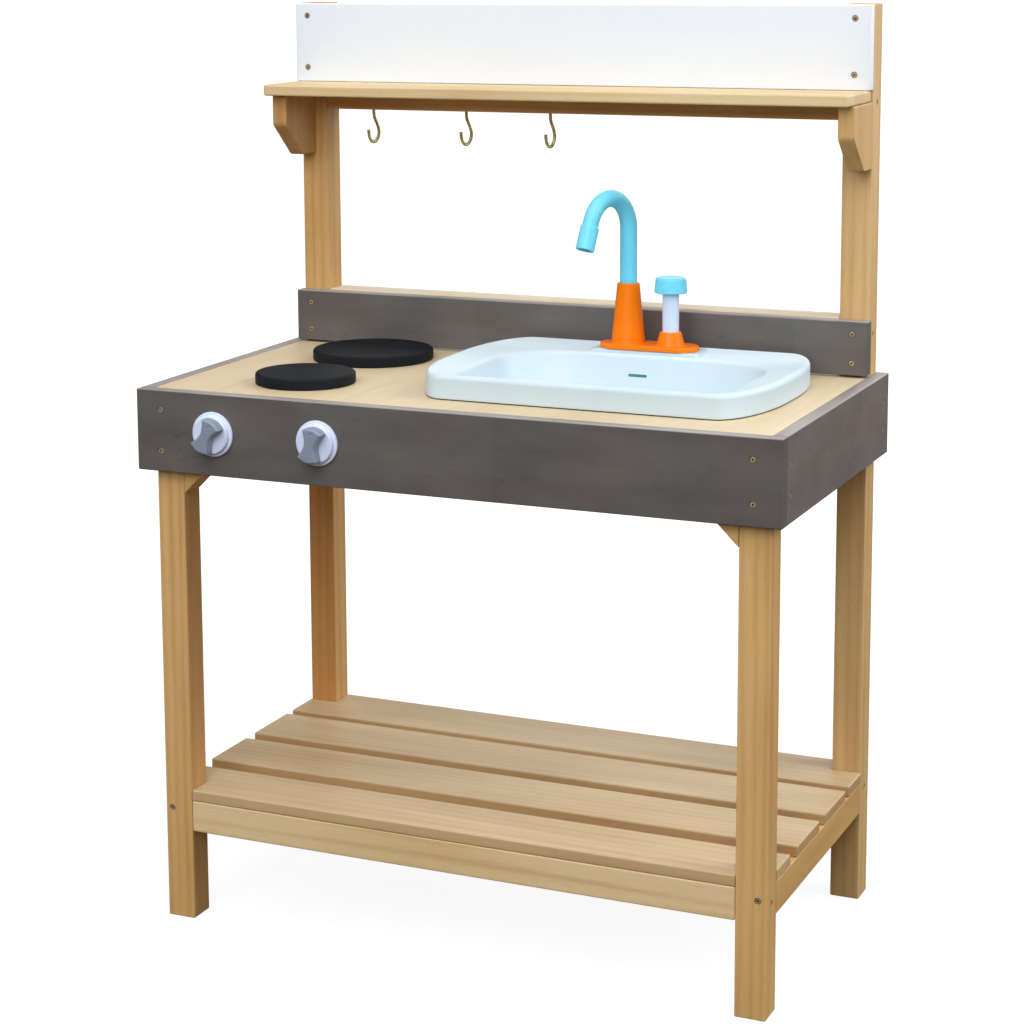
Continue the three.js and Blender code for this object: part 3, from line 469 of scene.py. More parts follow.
def plastic(name, colour, roughness, mottle=0.015, matting=0.02, gloss=0.5, light_shade_tints=()):
    """Moulded plastic: an even colour with the faint flow and fine matting of the mould."""
    finish = Finish(name, colour, roughness, gloss=gloss)
    seen = linear(colour)[:3]
    low = (*[c * (1 - mottle) for c in seen], 1)
    high = (*[min(1.0, c * (1 + mottle)) for c in seen], 1)
    flow = finish.ramp(finish.noise(X, 1, 0, 9, 2.0), (0.3, 0.7), (low, high))
    finish.colour(finish.painted_light_shade(flow, light_shade_tints))
    finish.roughness(finish.noise(X, 1, 4, 22, 2.0), roughness - 0.03, roughness + 0.04)
    finish.bump(finish.noise(X, 1, 2, 1400, 2.0), matting, 0.2 * MM)
    return finish.material


def metal(name, colour, roughness, metallic=1.0):
    """Plated metal with fine rubbing marks and small dull spots."""
    finish = Finish(name, colour, roughness, metallic)
    marks = finish.noise(Z, 0.2, 0, 900)
    spots = finish.noise(X, 1, 3, 260)
    seen = linear(colour)[:3]
    finish.colour(finish.ramp(spots, (0.36, 0.6), ((*[c * 0.62 for c in seen], 1), (*seen, 1))))
    finish.roughness(marks, roughness - 0.08, roughness + 0.14)
    finish.bump(marks, 0.08, 0.2 * MM)
    return finish.material


def painted_board():
    """White paint over a smooth board, the brush and the grain just felt."""
    finish = Finish("white_paint", WHITE_PAINT[0], 0.42)
    cloud = finish.noise(X, 0.3, 0, 12, 2.0)
    low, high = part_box("header_board")
    paint = finish.ramp(cloud, (0.3, 0.7), WHITE_PAINT)
    # The header is painted darker towards its bottom: painted shade.
    finish.colour(finish.painted_light_shade(paint, [(HEADER_SHADE_TINT, [(Z, low.z, high.z)])]))
    finish.roughness(cloud, 0.36, 0.5)
    finish.bump(finish.noise(X, 0.03, 2, 420), 0.1, 0.4 * MM)
    return finish.material


def plywood():
    """The pale worktop: joined boards that run front to back, with a thin line where they meet."""
    finish = Finish("pale_worktop", PLY[1], 0.5)
    fine = finish.noise(Y, 0.03, 0, 300, 3.0, 0.65)
    broad = finish.noise(Y, 0.25, 2.2, 14)
    board = finish.math("MULTIPLY_ADD", finish.axes()[X], 1 / PLY_BOARD, PLY_SHIFT)
    number = finish.math("FLOOR", board)
    own = finish.node("TexWhiteNoise", noise_dimensions="1D", W=number)
    tone = finish.math("MULTIPLY_ADD", fine, 0.45, finish.math("MULTIPLY", broad, 0.6))
    tone = finish.layered(tone, own.outputs["Value"], 0.22, 0.14, clamp=True)
    colour = finish.ramp(tone, (0.2, 0.52, 0.9), PLY)
    edge = finish.math("ABSOLUTE", finish.math("SUBTRACT", finish.math("FRACT", board), 0.5))
    depth = finish.math("MULTIPLY_ADD", finish.math("LESS_THAN", number, 8.5), 0.45, 0.1)
    seam = finish.math("MULTIPLY", finish.math("GREATER_THAN", edge, 0.497), depth)
    finish.colour(finish.mix(seam, colour, linear(PLY_SEAM)))
    finish.roughness(broad, 0.42, 0.58)
    finish.bump(fine, 0.08, 0.4 * MM)
    return finish.material


def ledge():
    """Where the basin's rear ledge is painted lighter, as painted light: near its back, and near its top."""
    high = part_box("sink_basin")[1]
    return [(Y, high.y - 36 * MM, high.y - 80 * MM), (Z, high.z - 4 * MM, high.z - 8 * MM)]


FINISHES = {
    "white": painted_board(),
    "plywood": plywood(),
    # The basin's rear ledge is painted lighter: painted light.
    "basin": plastic("basin_plastic", BASIN, 0.38, 0.004, 0.006, 0.22, [(LEDGE_LIGHT_TINT, ledge())]),
    "pad": plastic("pad_plastic", PAD, 0.38, 0.004, 0.006, 0.22),
    "orange": plastic("orange_plastic", ORANGE, 0.36, 0.02, gloss=0.25),
    "blue": plastic("blue_plastic", BLUE, 0.36, 0.02, gloss=0.4),
    "stem": plastic("stem_plastic", STEM, 0.36),
    "dial": plastic("dial_plastic", DIAL, 0.36),
    "grip": plastic("grip_plastic", GRIP, 0.42, 0.03),
    "inner": plastic("inner_plastic", INNER_PLASTIC, 0.45),
    "brass": metal("brass_plate", BRASS, 0.26, 0.6),
    "screw": metal("screw_metal", SCREW_METAL, 0.42, 0.2),
    "slot_shade": plastic("slot_painted_shade", SLOT_SHADE_COLOUR, 0.5),
    # Painted shadow: a near black for the screws' sockets and pits and the line under the basin's rim.
    "socket": plastic("painted_shadow", PAINTED_SHADOW, 0.7),
    "steel": metal("bright_steel", STEEL, 0.28),
}


# Screws

SCREW_HEAD = 6.1 * MM
SCREW_SUNK = 0.5 * MM
SCREW_PIT = 1.4 * MM
SCREW_RING = 0.55 * MM
CROSS_LENGTH = 3.3 * MM
CROSS_WIDTH = 1 * MM
CROSS_DEPTH = 0.5 * MM
SCREW_TURN = 37
SCREWS = []


def screw_pit(point, outward):
    """The shallow countersink that a screw head sits in."""
    wide = SCREW_HEAD / 2 + SCREW_RING
    mouth = 0.3 * MM
    profile = [(0, -SCREW_PIT), (wide * 0.9, -SCREW_PIT), (wide, -0.2 * MM), (wide + 0.25 * MM, mouth), (0, mouth)]
    return turned("screw_pit", profile, facing(point, outward), 28)


def blades(length, width, low, high):
    """The two crossed blades of a screwdriver's tip."""
    pieces = []
    for turn in (0, 90):
        bm = cuboid(Vector((-length / 2, -width / 2, low)), Vector((length / 2, width / 2, high)))
        pieces.append(to_object("blade", moved(bm, upright(turn))))
    return pieces


def screw_pattern():
    """One countersunk head with its cross-shaped socket, and painted shadow in and round it: dark crosses deep in
    the socket and a dark ring in the pit round the head.
    """
    rim = SCREW_HEAD / 2
    base = -SCREW_PIT
    top = -SCREW_SUNK
    profile = [(0, base), (rim * 0.8, base), (rim, top - 0.3 * MM), (rim - 0.15 * MM, top),
               (rim * 0.5, top + 0.12 * MM), (0, top + 0.15 * MM)]
    head = turned("screw_head", profile, steps=32)
    carve(head, blades(CROSS_LENGTH, CROSS_WIDTH, top - CROSS_DEPTH, 1 * MM))
    # Dark crosses deep in the socket and a dark ring in the pit round the head: painted shadow.
    dark = blades(CROSS_LENGTH * 0.98, CROSS_WIDTH * 0.98, base + 0.1 * MM, top - 0.42 * MM)
    inner = rim + 0.04 * MM
    outer = rim + SCREW_RING - 0.12 * MM
    level = top - 0.1 * MM
    ring = [(inner, base), (outer, base), (outer, level), (inner, level), (inner, base)]
    return [head], [*dark, turned("screw_pit_shadow", ring, steps=32)]


def screws_on(points, outward):
    """Notes screws at points on a face and gives the pits for them."""
    SCREWS.extend((Vector(point), outward) for point in points)
    return [screw_pit(Vector(point), outward) for point in points]


def fit_screws():
    """Copies the pattern to every noted place, each screw turned a little further than the last."""
    # The second pattern is painted shadow, in the sockets and the pits.
    for parts, name, finish in zip(screw_pattern(), ("frame_screws", "frame_screw_shadows"), ("screw", "socket")):
        bm = bmesh.new()
        for i, (point, outward) in enumerate(SCREWS):
            place = facing(point, outward) @ upright(SCREW_TURN * i)
            for part in parts:
                copy = part.data.copy()
                copy.transform(place)
                bm.from_mesh(copy)
                bpy.data.meshes.remove(copy)
        for part in parts:
            bpy.data.objects.remove(part)
        dress(to_object(name, bm, outward=False), finish, sharp=25)


# Timber

TIMBER_EDGE = 1.6 * MM
BOARD_EDGE = 1.3 * MM
BLOCK_EDGE = 0.8 * MM
BLOCK_SCREW_SHARE = 0.28
NOTCH_ROOM = 0.3 * MM
LEG_FRONT_SCREWS = {"left": -8.5 * MM, "right": 7 * MM}
LEG_FRONT_HEIGHT = 125.6 * MM
LEG_SIDE_HEIGHT = 118.5 * MM
POST_SCREWS = (127.5, 642, 894.4)
TRAY_SCREWS = ((-331, 576.5), (-331, 531.5), (329.7, 575.6), (330.4, 531.2))
TRAY_SIDE_SCREWS = ((28, 569), (28, 538), (376, 569), (376, 538))
BACKSPLASH_SCREWS = ((-330, 645.5), (-330, 613.5), (330, 645.5), (330, 613.5))
HEADER_SCREWS = ((-330, 985), (-330, 925), (327, 985), (327, 925))
SPINDLE_BORE = 3.3 * MM
HOOK_BORE = 2 * MM
BRACKET_NOSE = 34.6 * MM
BRACKET_FOOT = 31.7 * MM
CROSS_RAILS = ("lower_rail_front", "lower_rail_rear", "middle_rail", "upper_rail")
SIDE_RAILS = ("lower_rail_left", "lower_rail_right", "panel_batten_left", "panel_batten_right")
# The upper rail takes a darker, redder copy of the pine: painted shade under the upper shelf.
RAIL_TONES = {"upper_rail": UPPER_RAIL_SHADE_PINE, "middle_rail": RAIL_PINE, "lower_rail_front": FRONT_RAIL_PINE}


def block(node, edge):
    """A bar or board that fills its node's box, with softened edges."""
    bm = cuboid(*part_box(node))
    eased(bm, edge)
    return to_object(node + "_wood", bm)


def timber(node, along, seed, tones=PINE, pits=(), rings=0.5, centre=(0.5, 0.5), light_shade_tints=()):
    piece = block(node, TIMBER_EDGE)
    if pits:
        carve(piece, pits)
    dress(piece, wood(node + "_grain", tones, along, seed, rings, centre, light_shade_tints), node)


def make_legs():
    for i, (side, out) in enumerate(SIDES):
        node = f"front_leg_{side}"
        low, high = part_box(node)
        middle = middle_of(node)
        pits = screws_on([(middle.x + LEG_FRONT_SCREWS[side], low.y, LEG_FRONT_HEIGHT)], FRONT)
        pits += screws_on([(outer_x(node, out), middle.y, LEG_SIDE_HEIGHT)], (out, 0, 0))
        # The left front leg's inner side is painted darker: painted shade under the tray.
        light_shade_tints = [] if i else [(INNER_SIDE_SHADE_TINT, [(X, high.x - 0.8 * MM, high.x - 2 * MM)])]
        timber(node, "Z", 1.7 + i, pits=pits, centre=(0.9, -0.7 if i else 0.8), light_shade_tints=light_shade_tints)
        node = f"rear_post_{side}"
        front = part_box(node)[0].y
        places = [(outer_x(node, out), middle_of(node).y, height * MM) for height in POST_SCREWS]
        # The left rear post is painted darker on its front face below the tray, and towards its top under the upper
        # shelf: painted shade.
        shade = [(Z, 500 * MM, 600 * MM), (Y, front + 0.8 * MM, front + 2 * MM)]
        light_shade_tints = [] if i else [(SHELF_SHADE_TINT, [(Z, 930 * MM, 800 * MM)]), (SHADE_TINT, shade)]
        timber(node, "Z", 4.3 + i, RIGHT_POST_PINE if i else PINE, screws_on(places, (out, 0, 0)),
               centre=(-0.8, 0.7), light_shade_tints=light_shade_tints)


def make_rails():
    for i, node in enumerate(CROSS_RAILS):
        roots = hook_roots() if node == "upper_rail" else []
        pits = [drill(HOOK_BORE, -1 * MM, 12 * MM, Matrix.Translation(root), 16) for root in roots]
        timber(node, "X", 8.2 + i * 1.9, RAIL_TONES.get(node, PINE), pits, 0.7, (0.6, -0.9))
    for i, node in enumerate(SIDE_RAILS):
        timber(node, "Y", 15.4 + i * 2.1, centre=(0.8, 0.8))


def notched_outline(node, front_neck, back_neck, reach):
    """A slat seen from above. Where it has a neck, its ends are notched round the legs or posts."""
    low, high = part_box(node)
    right = [(reach, low.y), (reach, front_neck), (high.x, front_neck)] if front_neck else [(high.x, low.y)]
    right += [(high.x, back_neck), (reach, back_neck), (reach, high.y)] if back_neck else [(high.x, high.y)]
    left = [(-x, y) for x, y in reversed(right)]
    return [left[-1], *right, *left[:-1]]


def make_slats():
    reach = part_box("lower_rail_front")[1].x
    front_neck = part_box("front_leg_left")[1].y + NOTCH_ROOM
    back_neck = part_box("rear_post_left")[0].y - NOTCH_ROOM
    for i, place in enumerate(("front", "second", "third", "rear")):
        node = f"shelf_slat_{place}"
        low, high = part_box(node)
        outline = notched_outline(node, front_neck if place == "front" else None,
                                  back_neck if place == "rear" else None, reach)
        bm = slab(outline, high.z - low.z, at(0, 0, low.z))
        eased(bm, BOARD_EDGE)
        # Each slat is painted darker below its top: painted shade, stronger on the rear slats that the slat in
        # front shades.
        light_shade_tints = [(GAP_SHADE_TINT if i else FRONT_SLAT_SHADE_TINT, [(Z, high.z - 2.6 * MM, high.z - 1.2 * MM)])]
        finish = wood(node + "_grain", PALE_PINE, "X", 21.3 + 2.7 * i, 0.35, (0.3, -1.1 + 0.3 * i), light_shade_tints)
        dress(to_object(node + "_wood", bm), finish, node)


def make_corner_blocks():
    places = [(row, side, out) for row in ("front", "rear") for side, out in SIDES]
    for i, (row, side, out) in enumerate(places):
        node = f"corner_block_{row}_{side}"
        low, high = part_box(node)
        inner, outer = (low.x, high.x) if out < 0 else (high.x, low.x)
        outline = [(inner, low.z), (outer, high.z), (inner, high.z)]
        turn = at(0, high.y, 0) @ Matrix.Rotation(pi / 2, 4, "X")
        bm = slab(outline, high.y - low.y, turn)
        eased(bm, BLOCK_EDGE)
        piece = to_object(node + "_wood", bm)
        foot = Vector((inner + (outer - inner) * BLOCK_SCREW_SHARE, (low.y + high.y) / 2,
                       low.z + (high.z - low.z) * BLOCK_SCREW_SHARE))
        carve(piece, screws_on([foot], Vector((-out, 0, -1)).normalized()))
        dress(piece, wood(node + "_grain", PINE, "X", 31.1 + i * 1.3, 0.4), node)


def stained(node, along, seed, pits=(), tones=STAIN):
    piece = block(node, BOARD_EDGE)
    if pits:
        carve(piece, pits)
    # Each board's top edge is painted paler: worn stain, and a painted sheen.
    finish = stained_wood(node + "_stain", tones, along, seed, worn_sheen_top=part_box(node)[1].z)
    dress(piece, finish, node)


def front_screws(node, places):
    """Screws on a board's front face, at places across and up."""
    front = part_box(node)[0].y
    return screws_on([(x * MM, front, z * MM) for x, z in places], FRONT)


def make_tray():
    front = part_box("tray_front_board")[0].y
    pits = front_screws("tray_front_board", TRAY_SCREWS)
    for side, _ in SIDES:
        centre = middle_of(f"knob_{side}_dial")
        pits.append(drill(SPINDLE_BORE, -1 * MM, 17 * MM, facing((centre.x, front, centre.z), (0, 1, 0))))
    stained("tray_front_board", "X", 41.7, pits)
    for i, (side, out) in enumerate(SIDES):
        node = f"tray_side_board_{side}"
        points = [(outer_x(node, out), front + y * MM, z * MM) for y, z in TRAY_SIDE_SCREWS]
        # The side boards take a paler copy of the stain: painted light.
        stained(node, "Y", 47.2 + 3.3 * i, screws_on(points, (out, 0, 0)), SIDE_LIGHT_STAIN)
    stained("tray_rear_board", "X", 52.9)
    # The backsplash takes a paler copy of the stain: painted light.
    stained("backsplash_board", "X", 57.6, front_screws("backsplash_board", BACKSPLASH_SCREWS), BACKSPLASH_LIGHT_STAIN)


def make_upper_shelf():
    bm = cuboid(*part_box("upper_shelf"))
    eased(bm, 4 * MM, 6, chosen=lambda e: abs(e.verts[0].co.z - e.verts[1].co.z) > 1 * MM)
    eased(bm, 2.2 * MM, 4, 60)
    finish = wood("shelf_grain", SHELF_PINE, "X", 63.3, 0.35)
    dress(to_object("upper_shelf_wood", bm), finish, "upper_shelf")
    piece = block("header_board", BOARD_EDGE)
    carve(piece, front_screws("header_board", HEADER_SCREWS))
    dress(piece, "white", "header_board")
    # The brackets take darker copies of the pine: painted shade under the upper shelf.
    make_bracket("shelf_bracket_left", 67.7, LEFT_BRACKET_SHADE_PINE)
    make_bracket("shelf_bracket_right", 70.7, RIGHT_BRACKET_SHADE_PINE)


def make_bracket(node, seed, tones):
    """A straight nose, a long sloping cut and a flat foot, seen from the side."""
    low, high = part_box(node)
    outline = [(high.y, high.z), (low.y, high.z), (low.y, high.z - BRACKET_NOSE), (high.y - BRACKET_FOOT, low.z),
               (high.y, low.z)]
    turn = Matrix(((0, 0, 1, low.x), (1, 0, 0, 0), (0, 1, 0, 0), (0, 0, 0, 1)))
    bm = slab(outline, high.x - low.x, turn)

    def free_corner(edge):
        first, second = (v.co for v in edge.verts)
        runs_across = abs(first.x - second.x) > 1 * MM
        return runs_across and min(first.z, second.z) < high.z - 1 * MM and first.y < high.y - 1 * MM

    eased(bm, 3.5 * MM, 5, 1, free_corner)
    eased(bm, 1.5 * MM, 3, 50)
    dress(to_object(node + "_wood", bm), wood(node + "_grain", tones, "Z", seed, 0.4), node)


# Hooks

HOOK_PLACES = (-258.5, -139, -34)
HOOK_TURNS = (25, 22, 55)
HOOK_DROP = 39 * MM
HOOK_REACH = 6.1 * MM
HOOK_WIRE = 3.7 * MM
HOOK_COLLAR = mm((0, -1.1), (2.3, -1.1), (2.7, -0.7), (2.7, -0.1), (0, -0.1))
HOOK_LINE = ((0, 0.26), (0, 0.1), (0, -0.14), (0.16, -0.29), (0.62, -0.44), (0.98, -0.61), (0.98, -0.79),
             (0.5, -0.97), (-0.15, -1.03), (-0.76, -0.94), (-1.0, -0.78), (-1.03, -0.63))


def hook_roots():
    """Where the hooks are screwed into the underside of the upper rail."""
    low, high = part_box("upper_rail")
    return [Vector((x * MM, (low.y + high.y) / 2, low.z)) for x in HOOK_PLACES]


def make_hooks():
    for name, root, turn in zip(("left", "middle", "right"), hook_roots(), HOOK_TURNS):
        place = Matrix.Translation(root) @ upright(turn)
        line = [place @ Vector((out * HOOK_REACH, 0, up * HOOK_DROP)) for out, up in HOOK_LINE]
        wire = tube(f"utensil_hook_{name}_wire", line, HOOK_WIRE / 2, 6)
        carve(wire, [turned("collar", HOOK_COLLAR, Matrix.Translation(root), 32)], "UNION")
        dress(wire, "brass", f"utensil_hook_{name}", sharp=50)


# Hob discs

HOB_ROUND = 2.6 * MM


def make_hobs():
    for i, size in enumerate(("small", "large")):
        node = f"hob_disc_{size}"
        low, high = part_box(node)
        radius = (high.x - low.x) / 2
        height = high.z - low.z
        profile = [(0, 0), (radius - 1.2 * MM, 0), (radius - 0.3 * MM, 0.4 * MM), (radius, 1.3 * MM)]
        profile += arc((radius - HOB_ROUND, height - HOB_ROUND), HOB_ROUND, 0, 90, 7)
        profile += [(radius * 0.8, height), (radius * 0.4, height), (0, height)]
        middle = middle_of(node)
        place = at(middle.x, middle.y, low.z)
        finish = stained_wood(node + "_stain", BLACK_STAIN, "X", 71.9 + i, (0.6, 0.74), 400 * MM, 0.2)
        dress(turned(node + "_wood", profile, place, 120), finish, node, sharp=60)


# Knobs

FLANGE = 24.2 * MM
FLANGE_HEIGHT = 3 * MM
FLANGE_ROUND = 1.2 * MM
DIAL_RADIUS = 20.75 * MM
DIAL_HEIGHT = 8 * MM
DIAL_ROUND = 1.9 * MM
GRIP_RADIUS = 18.75 * MM
GRIP_END = 37
GRIP_WAIST = 6.25 * MM
GRIP_WAIST_STEPS = 14
GRIP_HEIGHT = 12.2 * MM
GRIP_MARK = mm((0, -0.9), (1.6, -0.8), (2.3, 0.3), (0, 0.3))
GRIP_MARK_INSET = 5.6 * MM
KNOB_TURNS = {"left": 29, "right": 12}


def grip_outline():
    """Two round ends joined by hollow sides."""
    half = arc((0, 0), GRIP_RADIUS, 90 - GRIP_END, 90 + GRIP_END, 12)
    x, y = half[-1]
    for i in range(1, GRIP_WAIST_STEPS):
        share = i / GRIP_WAIST_STEPS
        half.append((x + (-GRIP_WAIST - x) * sin(pi * share) ** 1.15, y * (1 - 2 * share)))
    return half + [(-x, -y) for x, y in half]


def make_grip(side, seat):
    """The grip, with a small round dimple that marks its upper end."""
    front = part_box(f"knob_{side}_grip")[0].y
    bm = slab(grip_outline(), GRIP_HEIGHT, seat)
    eased(bm, 2.4 * MM, 5, 60, lambda e: max(v.co.y for v in e.verts) < front + 1 * MM)
    bmesh.ops.triangulate(bm, faces=[f for f in bm.faces if len(f.verts) > 4])
    grip = to_object(f"knob_{side}_handle", bm)
    place = seat @ at(0, GRIP_RADIUS - GRIP_MARK_INSET, GRIP_HEIGHT)
    carve(grip, [turned("mark", GRIP_MARK, place, 24)])
    dress(grip, "grip", f"knob_{side}_grip", f"knob_{side}", 40)


def make_knobs():
    profile = [(0, 0), (FLANGE - 0.5 * MM, 0), (FLANGE, 0.6 * MM)]
    profile += arc((FLANGE - FLANGE_ROUND, FLANGE_HEIGHT - FLANGE_ROUND), FLANGE_ROUND, 0, 90, 5)
    profile += [(DIAL_RADIUS + 0.8 * MM, FLANGE_HEIGHT), (DIAL_RADIUS + 0.2 * MM, FLANGE_HEIGHT + 0.4 * MM)]
    profile += arc((DIAL_RADIUS - DIAL_ROUND, DIAL_HEIGHT - DIAL_ROUND), DIAL_ROUND, 0, 90, 7)
    profile += [(DIAL_RADIUS * 0.5, DIAL_HEIGHT), (0, DIAL_HEIGHT)]
    for side, turn in KNOB_TURNS.items():
        centre = middle_of(f"knob_{side}_dial")
        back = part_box(f"knob_{side}_dial")[1].y
        face = facing((centre.x, back, centre.z), FRONT)
        dial = turned(f"knob_{side}_disc", profile, face, 96)
        carve(dial, [drill(SPINDLE_BORE, -1 * MM, 5 * MM, face)])
        dress(dial, "dial", f"knob_{side}_dial", f"knob_{side}", 50)
        grip_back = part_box(f"knob_{side}_grip")[1].y
        flat = Matrix(((1, 0, 0, centre.x), (0, 0, -1, grip_back), (0, 1, 0, centre.z), (0, 0, 0, 1)))
        make_grip(side, flat @ upright(-turn))
        carry(f"knob_{side}_spindle", "steel")


# Basin

RIM_HEIGHT = 26.2 * MM
RIM_WALL = 3 * MM
RIM_LIFT = 0.9 * MM
RIM_EDGE = 4.5 * MM
RIM_FLAT = 11 * MM
RIM_CORNER_SHARES = (0.23, 0.88)
RIM_FOOT = [(RIM_WALL + 0.6 * MM, 0), (RIM_WALL * 0.6, 0), *mm((0.9, 0.1), (0.15, 0.8), (0, 2), (0, 8))]
BOWL_SIDE = 40 * MM
BOWL_FRONT = 20 * MM
BOWL_BACK = 54 * MM
BOWL_FRONT_CORNER = (45 * MM, 45 * MM)
BOWL_REAR_CORNER = (84 * MM, 62 * MM)
BOWL_LIP = 5 * MM
BOWL_LIP_STEPS = mm((-5, 1.1), (-2, 0.5), (0.2, -0.4), (1.8, -2.4), (3, -6))
BOWL_WALL_STEPS = 6
BOWL_DEPTH = 92 * MM
BOWL_DRAFT = 26 * MM
BOWL_FILLET = 14 * MM
BOWL_FLOOR_REACH = 16 * MM
ROUNDING = [radians(angle) for angle in (22, 45, 68, 90)]
SHELL_WALL = 2.6 * MM
# The radius of a thin dark tube of painted shade where the rim meets the worktop.
RIM_SHADE_RADIUS = 0.6 * MM
PAD_HALF = 61.5 * MM
PAD_BACK = 5.6 * MM
PAD_HEIGHT = 8.4 * MM
PAD_CORNER = 5 * MM
PAD_BORE = 12.3 * MM
SLOT_WIDTH = 22 * MM
SLOT_HEIGHT = 3.2 * MM
SLOT_DROP = 26 * MM
SLOT_SHIFT = -2.6 * MM


def basin_loop(half, reach, front_corner, rear_corner, height, centre_x):
    """Points round the basin at one height: straight sides between long oval corners."""
    front, back = reach
    low = front + front_corner[1]
    high = back - rear_corner[1]
    line = [(half * i / 6 * (1 - front_corner[0] / half), front) for i in range(6)]
    line += [(half - front_corner[0] + x * front_corner[0], low + y * front_corner[1])
             for x, y in arc((0, 0), 1, -90, 0, 14)]
    line += [(half, low + (high - low) * i / 5) for i in range(1, 5)]
    line += [(half - rear_corner[0] + x * rear_corner[0], high + y * rear_corner[1])
             for x, y in arc((0, 0), 1, 0, 90, 14)]
    line += [((half - rear_corner[0]) * (1 - i / 6), back) for i in range(1, 7)]
    left = [(-x, y) for x, y in line[1:-1]][::-1]
    return [Vector((centre_x + x, y, height)) for x, y in line + left]


def basin_rings():
    """The basin's outlines, from the foot of the rim over its edge and down to the bowl's floor."""
    low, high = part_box("sink_basin")
    centre_x = (low.x + high.x) / 2
    half = (high.x - low.x) / 2
    depth = high.y - low.y
    top = high.z
    base = top - RIM_HEIGHT + RIM_LIFT
    floor = top - BOWL_DEPTH
    lip = top - BOWL_LIP

    def rim(inset, z):
        corner = (RIM_CORNER_SHARES[0] * half - inset, RIM_CORNER_SHARES[1] * depth / 2 - inset)
        return basin_loop(half - inset, (low.y + inset, high.y - inset), corner, corner, z, centre_x)

    def bowl(inset, z):
        corners = [[length - inset / 2 for length in corner] for corner in (BOWL_FRONT_CORNER, BOWL_REAR_CORNER)]
        reach = (low.y + BOWL_FRONT + inset, high.y - BOWL_BACK - inset)
        return basin_loop(half - BOWL_SIDE - inset, reach, *corners, z, centre_x)

    rings = [rim(inset, base + rise) for inset, rise in RIM_FOOT]
    rings += [rim(0, top - RIM_EDGE - 2 * MM), rim(0, top - RIM_EDGE)]
    rings += [rim(RIM_EDGE * (1 - cos(a)), top - RIM_EDGE * (1 - sin(a))) for a in ROUNDING]
    rings += [rim(RIM_FLAT * 0.7, top - 0.05 * MM), rim(RIM_FLAT, top - 0.5 * MM),
              rim(RIM_FLAT + 3 * MM, top - 1.3 * MM)]
    rings += [bowl(inset, lip + rise) for inset, rise in BOWL_LIP_STEPS]
    inset, rise = BOWL_LIP_STEPS[-1]
    drop = floor + BOWL_FILLET - lip - rise
    for i in range(1, BOWL_WALL_STEPS + 1):
        share = i / BOWL_WALL_STEPS
        rings.append(bowl(inset + (BOWL_DRAFT - inset) * share, lip + rise + drop * share))
    rings += [bowl(BOWL_DRAFT + BOWL_FILLET * (1 - cos(a)), floor + BOWL_FILLET * (1 - sin(a))) for a in ROUNDING]
    return rings + [bowl(BOWL_DRAFT + BOWL_FILLET + BOWL_FLOOR_REACH, floor - 0.3 * MM)]


def loop_edges(bm, verts):
    """The edges that join the points of a closed loop, made where they are missing."""
    pairs = [(verts[i], verts[(i + 1) % len(verts)]) for i in range(len(verts))]
    return [bm.edges.get(pair) or bm.edges.new(pair) for pair in pairs]


def basin_shell(rings, top):
    """The shell, drawn out ring by ring, then smoothed and given its wall."""
    bm = bmesh.new()
    verts = [bm.verts.new(point) for point in rings[0]]
    edges = loop_edges(bm, verts)
    for ring in rings[1:]:
        grown = bmesh.ops.extrude_edge_only(bm, edges=edges)
        fresh = {v for v in grown["geom"] if isinstance(v, bmesh.types.BMVert)}
        verts = [next(e.other_vert(v) for e in v.link_edges if e.other_vert(v) in fresh) for v in verts]
        for vert, point in zip(verts, ring):
            vert.co = point
        edges = loop_edges(bm, verts)
    bm.faces.new(verts)
    bmesh.ops.recalc_face_normals(bm, faces=bm.faces[:])
    bmesh.ops.poke(bm, faces=[bm.faces[:][-1]])
    if sum(f.normal.z * f.calc_area() for f in bm.faces if f.calc_center_median().z > top - 1 * MM) < 0:
        bmesh.ops.reverse_faces(bm, faces=bm.faces[:])
    shell = to_object("sink_basin_shell", bm, outward=False)
    smooth = shell.modifiers.new("smooth", "SUBSURF")
    smooth.levels = smooth.render_levels = 1
    wall = shell.modifiers.new("wall", "SOLIDIFY")
    wall.thickness = SHELL_WALL
    wall.offset = -1
    settle(shell)
    return shell


def make_basin():
    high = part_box("sink_basin")[1]
    rings = basin_rings()
    shell = basin_shell(rings, high.z)
    # A thin dark tube round the rim's foot: painted shade where the rim meets the worktop.
    rim_shade_line = [Vector((x, y, high.z - RIM_HEIGHT + RIM_SHADE_RADIUS)) for x, y, z in rings[1]]
    rim_shade = tube("rim_painted_shade", rim_shade_line + rim_shade_line[:2], RIM_SHADE_RADIUS, 1)
    dress(rim_shade, "socket", sharp=60)
    tap = middle_of("tap_base")
    turn = Matrix.Rotation(pi / 2, 4, "X")
    slot_place = at(tap.x + SLOT_SHIFT, high.y - BOWL_BACK, high.z - SLOT_DROP) @ turn
    end = SLOT_HEIGHT / 2
    outline = arc((SLOT_WIDTH / 2 - end, 0), end, -90, 90, 8) + arc((end - SLOT_WIDTH / 2, 0), end, 90, 270, 8)
    carve(shell, [to_object("slot", slab(outline, 44 * MM, slot_place @ at(0, 0, -14 * MM)))])
    dress(shell, "basin", "sink_basin", sharp=48)
    # A dark teal plate behind the overflow slot: painted shade inside the slot.
    wider = [(x * 1.04, y * 1.2) for x, y in outline]
    slot_shade = slab(wider, 1.4 * MM, slot_place @ at(0, 0, 5.9 * MM))
    dress(to_object("overflow_painted_shade", slot_shade), "slot_shade", sharp=48)
    make_tap_pad(high, tap)


